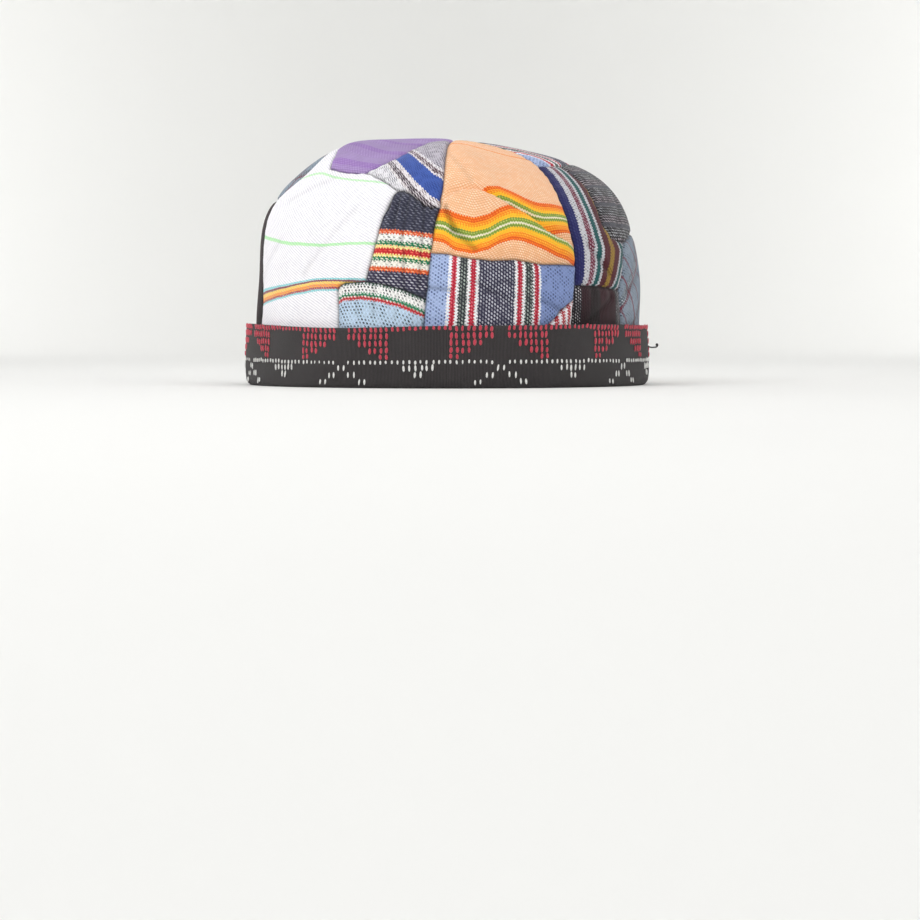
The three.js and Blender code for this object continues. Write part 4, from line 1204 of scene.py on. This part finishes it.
def float_places(kind, settings):
    """Points of the floats of one colour, with their turns and sizes."""
    rng = np.random.default_rng(settings.seed)
    outside = np.array(CUFF_SECTION[CUFF_LEAF[0]:CUFF_OUTSIDE_END], float)
    girth = math.tau * (CUFF_SIDE + CUFF_DEPTH + 2 * FIGURE_OUT) / 2
    spots, turns, sizes = [], [], []
    repeats = int(girth / FIGURE_STEP / FIGURE_COLUMNS) + 1
    for colour, height, half, columns in FIGURE_ROWS:
        if colour != kind:
            continue
        for repeat in range(-repeats // 2, repeats // 2 + 1):
            for column in columns:
                shift = (repeat * FIGURE_COLUMNS + column - FIGURE_MIDDLE_COLUMN) * FIGURE_STEP
                around = FIGURE_MIDDLE_ROUND + shift / girth * 360
                if not FIGURE_JOIN - 360 < around <= FIGURE_JOIN - 360 * FIGURE_STEP / girth:
                    continue
                around += rng.normal(0, FLOAT_SPREAD_ROUND)
                up = height + rng.normal(0, FLOAT_SPREAD_UP)
                out = float(np.interp(up, outside[:, 1], outside[:, 0]))
                low, high = np.interp((up - SLOPE_REACH, up + SLOPE_REACH), outside[:, 1], outside[:, 0])
                slope = float(high - low)
                radius = float(cuff_oval(around)) + out + FLOAT_OUT
                z = up + float(cuff_rise(around, up))
                angle = math.radians(around)
                spots.append((radius * math.sin(angle), -radius * math.cos(angle), z))
                lean = rng.normal(0, FLOAT_SPREAD_TURN)
                turns.append((-math.atan2(slope, 2 * SLOPE_REACH), lean, angle))
                sizes.append(np.array((*FLOATS[kind], half)) * rng.normal(1, FLOAT_SPREAD_SIZE, 3) * MM)
    return np.array(spots), np.array(turns), np.array(sizes)


def float_tree(material):
    """Node group that puts one small stitch on each point, turned and sized by its attributes."""
    group = bpy.data.node_groups.new("floats", "GeometryNodeTree")
    group.interface.new_socket("Points", in_out="INPUT", socket_type="NodeSocketGeometry")
    group.interface.new_socket("Segments", in_out="INPUT", socket_type="NodeSocketInt")
    group.interface.new_socket("Rings", in_out="INPUT", socket_type="NodeSocketInt")
    group.interface.new_socket("Stitches", in_out="OUTPUT", socket_type="NodeSocketGeometry")

    def add(kind, settings=None, **links):
        node = group.nodes.new(kind)
        for key, value in (settings or {}).items():
            setattr(node, key, value)
        for key, socket in links.items():
            group.links.new(socket, node.inputs[key.replace("_", " ")])
        return node
    start = add("NodeGroupInput")
    ball = add("GeometryNodeMeshUVSphere", Segments=start.outputs["Segments"], Rings=start.outputs["Rings"])
    ball.inputs["Radius"].default_value = 1.0
    turn = add("GeometryNodeInputNamedAttribute", {"data_type": "FLOAT_VECTOR"})
    turn.inputs["Name"].default_value = "turn"
    size = add("GeometryNodeInputNamedAttribute", {"data_type": "FLOAT_VECTOR"})
    size.inputs["Name"].default_value = "size"
    euler = add("FunctionNodeEulerToRotation", Euler=turn.outputs["Attribute"])
    copies = add(
        "GeometryNodeInstanceOnPoints", Points=start.outputs["Points"], Instance=ball.outputs["Mesh"],
        Rotation=euler.outputs[0], Scale=size.outputs["Attribute"],
    )
    real = add("GeometryNodeRealizeInstances", Geometry=copies.outputs[0])
    smooth = add("GeometryNodeSetShadeSmooth", Geometry=real.outputs[0])
    paint = add("GeometryNodeSetMaterial", Geometry=smooth.outputs[0])
    paint.inputs["Material"].default_value = material
    end = add("NodeGroupOutput")
    group.links.new(paint.outputs[0], end.inputs[0])
    return group


def build_floats(kind, settings):
    """The short floats of one colour on the cuff, as one mesh."""
    material = yarn_material(kind + "_float_yarn", getattr(settings, kind + "_yarn"))
    spots, turns, sizes = float_places(kind, settings)
    seeds = new_object("points", spots, [], material, smooth=False)
    for name, values in (("turn", turns), ("size", sizes)):
        seeds.data.attributes.new(name, "FLOAT_VECTOR", "POINT").data.foreach_set("vector", values.ravel())
    group = float_tree(material)
    modifier = seeds.modifiers.new("floats", "NODES")
    modifier.node_group = group
    counts = {"Segments": settings.float_segments, "Rings": settings.float_rings}
    for item in group.interface.items_tree:
        if item.name in counts:
            modifier[item.identifier] = counts[item.name]
    bpy.context.view_layer.update()
    graph = bpy.context.evaluated_depsgraph_get()
    mesh = bpy.data.meshes.new_from_object(seeds.evaluated_get(graph), depsgraph=graph)
    bpy.data.objects.remove(seeds)
    bpy.data.node_groups.remove(group)
    mesh.name = "cuff_floats_" + kind
    piece = bpy.data.objects.new("cuff_floats_" + kind, mesh)
    bpy.context.scene.collection.objects.link(piece)
    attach(piece, "root")
    return piece


def build_strand(settings):
    """A stray strand out of the cuff's right side, with a small curl at its end."""
    material = yarn_material("stray_yarn", settings.strand_yarn)
    curve = bpy.data.curves.new("stray_strand", "CURVE")
    curve.dimensions = "3D"
    curve.bevel_depth = settings.strand_radius * MM
    curve.bevel_resolution = 3
    curve.use_fill_caps = True
    spline = curve.splines.new("NURBS")
    angle = math.radians(STRAND_ROUND)
    foot = float(cuff_oval(STRAND_ROUND)) + STRAND_FOOT
    spline.points.add(len(STRAND_ROUTE) - 1)
    for point, (out, side, z) in zip(spline.points, STRAND_ROUTE):
        radius = foot + out
        x = radius * math.sin(angle) + side * math.cos(angle)
        y = -radius * math.cos(angle) + side * math.sin(angle)
        point.co = (x * MM, y * MM, z * MM, 1)
    spline.use_endpoint_u = True
    spline.order_u = 3
    curve.materials.append(material)
    piece = bpy.data.objects.new("stray_strand", curve)
    bpy.context.scene.collection.objects.link(piece)
    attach(piece, "root")
    return piece


def backdrop_material():
    """White studio paper."""
    tree = Tree("studio_paper", roughness=0.95, sheen=0.0)
    soft = tree.noise(3.0, 2.0)
    colour = tree.mix(soft, linear("f0f0ee"), linear("eeeeec"))
    return tree.finish(colour, tree.noise(60.0, 2.0), 0.02, 0.1 * MM)


def build_floor():
    """Round floor that bends up into a wall."""
    profile = [(r, 0.0) for r in (1.0, 400.0, 1000.0, FLOOR_FLAT)]
    for turn in np.linspace(0, math.pi / 2, 20)[1:]:
        profile.append((FLOOR_FLAT + FLOOR_BEND * math.sin(turn), FLOOR_BEND * (1 - math.cos(turn))))
    profile.append((FLOOR_FLAT + FLOOR_BEND, FLOOR_WALL))
    rounds = 96
    angles = np.linspace(0, math.tau, rounds, endpoint=False)
    points = [(r * math.sin(a), -r * math.cos(a), z) for r, z in profile for a in angles]
    index = np.arange(len(points)).reshape(len(profile), rounds)
    right = np.roll(index, -1, 1)
    faces = np.stack([index[:-1], index[1:], right[1:], right[:-1]], axis=-1).reshape(-1, 4).tolist()
    faces.append(index[0].tolist())
    floor = new_object("studio_floor", points, faces, backdrop_material())


def build_world(settings):
    """Even white light from all round, and the picture's plain view transform."""
    world = bpy.data.worlds.new("studio")
    world.use_nodes = True
    back = world.node_tree.nodes["Background"]
    back.inputs["Color"].default_value = (1.0, 1.0, 1.0, 1.0)
    back.inputs["Strength"].default_value = settings.ambient
    scene = bpy.context.scene
    scene.world = world
    scene.view_settings.view_transform = "Standard"


def build_lights(settings):
    """Soft lamps on the cap, and four that light the wall."""
    lights = [
        ("key", (-900, -1100, 1150), (0, 0, 60), 1000, settings.key_power),
        ("fill", (1100, -1200, 700), (0, 0, 60), 1200, settings.fill_power),
        ("top", (0, 150, 1500), (0, 0, 60), 1300, settings.top_power),
    ]
    for turn in (45, 135, 225, 315):
        side, front = math.sin(math.radians(turn)), math.cos(math.radians(turn))
        place = (1300 * side, 1300 * front, 1900)
        lights.append((f"wall_{turn}", place, (2700 * side, 2700 * front, 300), 1600, settings.wall_power))
    for name, place, aim, size, power in lights:
        data = bpy.data.lights.new(name, "AREA")
        data.shape = "DISK"
        data.size = size * MM
        data.energy = power
        data.spread = math.radians(90 if name.startswith("wall") else 180)
        lamp = bpy.data.objects.new(name, data)
        lamp.location = [v * MM for v in place]
        lamp.rotation_mode = "QUATERNION"
        lamp.rotation_quaternion = Vector(np.subtract(aim, place)).to_track_quat("-Z", "Y")
        bpy.context.scene.collection.objects.link(lamp)


def build_camera(settings):
    """Level camera at the front, shifted so that the cap sits where it does in the photo."""
    data = bpy.data.cameras.new("camera")
    data.sensor_width = 36.0
    data.lens = settings.scale * settings.distance / PICTURE_WIDE * data.sensor_width
    data.shift_x = settings.shift[0]
    data.shift_y = settings.shift[1]
    data.clip_start, data.clip_end = 0.05, 20.0
    camera = bpy.data.objects.new("camera", data)
    camera.location = (0, -settings.distance * MM, settings.camera_height * MM)
    camera.rotation_euler = (math.pi / 2, 0, 0)
    bpy.context.scene.collection.objects.link(camera)
    bpy.context.scene.camera = camera


def yarn_colour(name, text):
    """A colour property with a hexadecimal default."""
    return FloatVectorProperty(
        name=name, description="Colour of the yarn", size=4, subtype="COLOR", min=0.0, max=1.0,
        default=linear(text),
    )


class CrownSettings(bpy.types.PropertyGroup):
    """Settings of the crown and its cloth"""

    cell: FloatProperty(name="Cell", description="Side of a crown cell in mm", default=1.25, min=0.5)
    seam_depth: FloatProperty(name="Seam depth", description="How deep the seams sink in mm", default=1.15)
    pucker: FloatProperty(name="Pucker", description="Height of the seams' gathers in mm", default=0.16)
    weave: FloatProperty(name="Weave", description="Size of the weave's cells, 1 as the cloth", default=1.0)
    relief: FloatProperty(name="Relief", description="Depth of the weave in mm", default=0.3)
    roughness: FloatProperty(name="Roughness", description="Roughness of the cloth", default=0.88)
    sheen: FloatProperty(name="Sheen", description="Fuzz of the cloth", default=0.1)


class CuffSettings(bpy.types.PropertyGroup):
    """Settings of the cuff, its floats and the stray strand"""

    rib: FloatProperty(name="Rib", description="Distance between ribs in mm", default=0.62)
    round_steps: IntProperty(name="Steps round", description="Points round the cuff", default=720)
    section_steps: IntProperty(name="Section steps", description="Points of its section", default=84)
    float_segments: IntProperty(name="Float segments", description="Segments of a float", default=8)
    float_rings: IntProperty(name="Float rings", description="Rings of a float", default=6)
    strand_radius: FloatProperty(name="Strand", description="Radius of the stray strand in mm", default=0.34)
    seed: IntProperty(name="Seed", description="Seed of the floats' unevenness", default=7)
    # Painted shade and light of the knit: its yarn shaded between the ribs and lit on them
    knit_shaded: yarn_colour("Knit, between ribs", "141314")
    knit_lit: yarn_colour("Knit, on the ribs", "403c3d")
    red_yarn: yarn_colour("Red floats", "cf3f52")
    white_yarn: yarn_colour("White floats", "f4f3f0")
    strand_yarn: yarn_colour("Stray strand", "2a2829")


class StageSettings(bpy.types.PropertyGroup):
    """Settings of the camera and the lights"""

    distance: FloatProperty(name="Distance", description="Camera distance in mm", default=1500.0)
    camera_height: FloatProperty(name="Camera height", description="Camera height in mm", default=30.0)
    scale: FloatProperty(name="Scale", description="Pixels per mm in a 920 pixel picture", default=2.07)
    shift: FloatVectorProperty(name="Shift", description="Camera shift", size=2, default=(0.0141, -0.15))
    ambient: FloatProperty(name="Ambient", description="Strength of the surrounding light", default=0.62)
    key_power: FloatProperty(name="Key", description="Power of the key light", default=8.8, unit="POWER")
    fill_power: FloatProperty(name="Fill", description="Power of the fill light", default=0.9, unit="POWER")
    top_power: FloatProperty(name="Top", description="Power of the top light", default=5.0, unit="POWER")
    wall_power: FloatProperty(name="Wall", description="Power of a wall light", default=13.0, unit="POWER")


class SKULLCAP_OT_crown(bpy.types.Operator):
    """Build the crown's cloth patches"""

    bl_idname = "skullcap.crown"
    bl_label = "Build crown"

    def execute(self, context):
        settings = context.scene.skullcap_crown
        materials = {slot: cloth_material(slot, settings) for slot in CLOTHS}
        for name, slot, meets_band, *sides in outlines():
            piece = build_patch(name, meets_band, sides, materials[slot], settings)
            if not piece.data.polygons:
                raise RuntimeError(name + " came out empty")
        return {"FINISHED"}


class SKULLCAP_OT_cuff(bpy.types.Operator):
    """Build the folded knitted cuff with its floats and stray strand"""

    bl_idname = "skullcap.cuff"
    bl_label = "Build cuff"

    def execute(self, context):
        settings = context.scene.skullcap_cuff
        build_cuff(knit_material(settings), settings)
        for kind in FLOATS:
            if not build_floats(kind, settings).data.polygons:
                raise RuntimeError("no " + kind + " floats were made")
        build_strand(settings)
        return {"FINISHED"}


class SKULLCAP_OT_stage(bpy.types.Operator):
    """Build the floor, the lights and the camera"""

    bl_idname = "skullcap.stage"
    bl_label = "Build stage"

    def execute(self, context):
        settings = context.scene.skullcap_stage
        build_floor()
        build_world(settings)
        build_lights(settings)
        build_camera(settings)
        return {"FINISHED"}


class SKULLCAP_PT_panel(bpy.types.Panel):
    """Buttons of the three builders"""

    bl_label = "Skullcap"
    bl_idname = "SKULLCAP_PT_panel"
    bl_space_type = "VIEW_3D"
    bl_region_type = "UI"
    bl_category = "Skullcap"

    def draw(self, context):
        for operator in OPERATORS:
            self.layout.operator(operator.bl_idname)


OPERATORS = (SKULLCAP_OT_crown, SKULLCAP_OT_cuff, SKULLCAP_OT_stage)
GROUPS = {"skullcap_crown": CrownSettings, "skullcap_cuff": CuffSettings, "skullcap_stage": StageSettings}


def register():
    for group in GROUPS.values():
        bpy.utils.register_class(group)
    for name, group in GROUPS.items():
        setattr(bpy.types.Scene, name, PointerProperty(type=group))
    for operator in OPERATORS:
        bpy.utils.register_class(operator)
    bpy.utils.register_class(SKULLCAP_PT_panel)


def unregister():
    bpy.utils.unregister_class(SKULLCAP_PT_panel)
    for operator in reversed(OPERATORS):
        bpy.utils.unregister_class(operator)
    for name, group in GROUPS.items():
        delattr(bpy.types.Scene, name)
        bpy.utils.unregister_class(group)


def main():
    register()
    for operator in (bpy.ops.skullcap.crown, bpy.ops.skullcap.cuff, bpy.ops.skullcap.stage):
        operator()


if __name__ == "__main__":
    main()
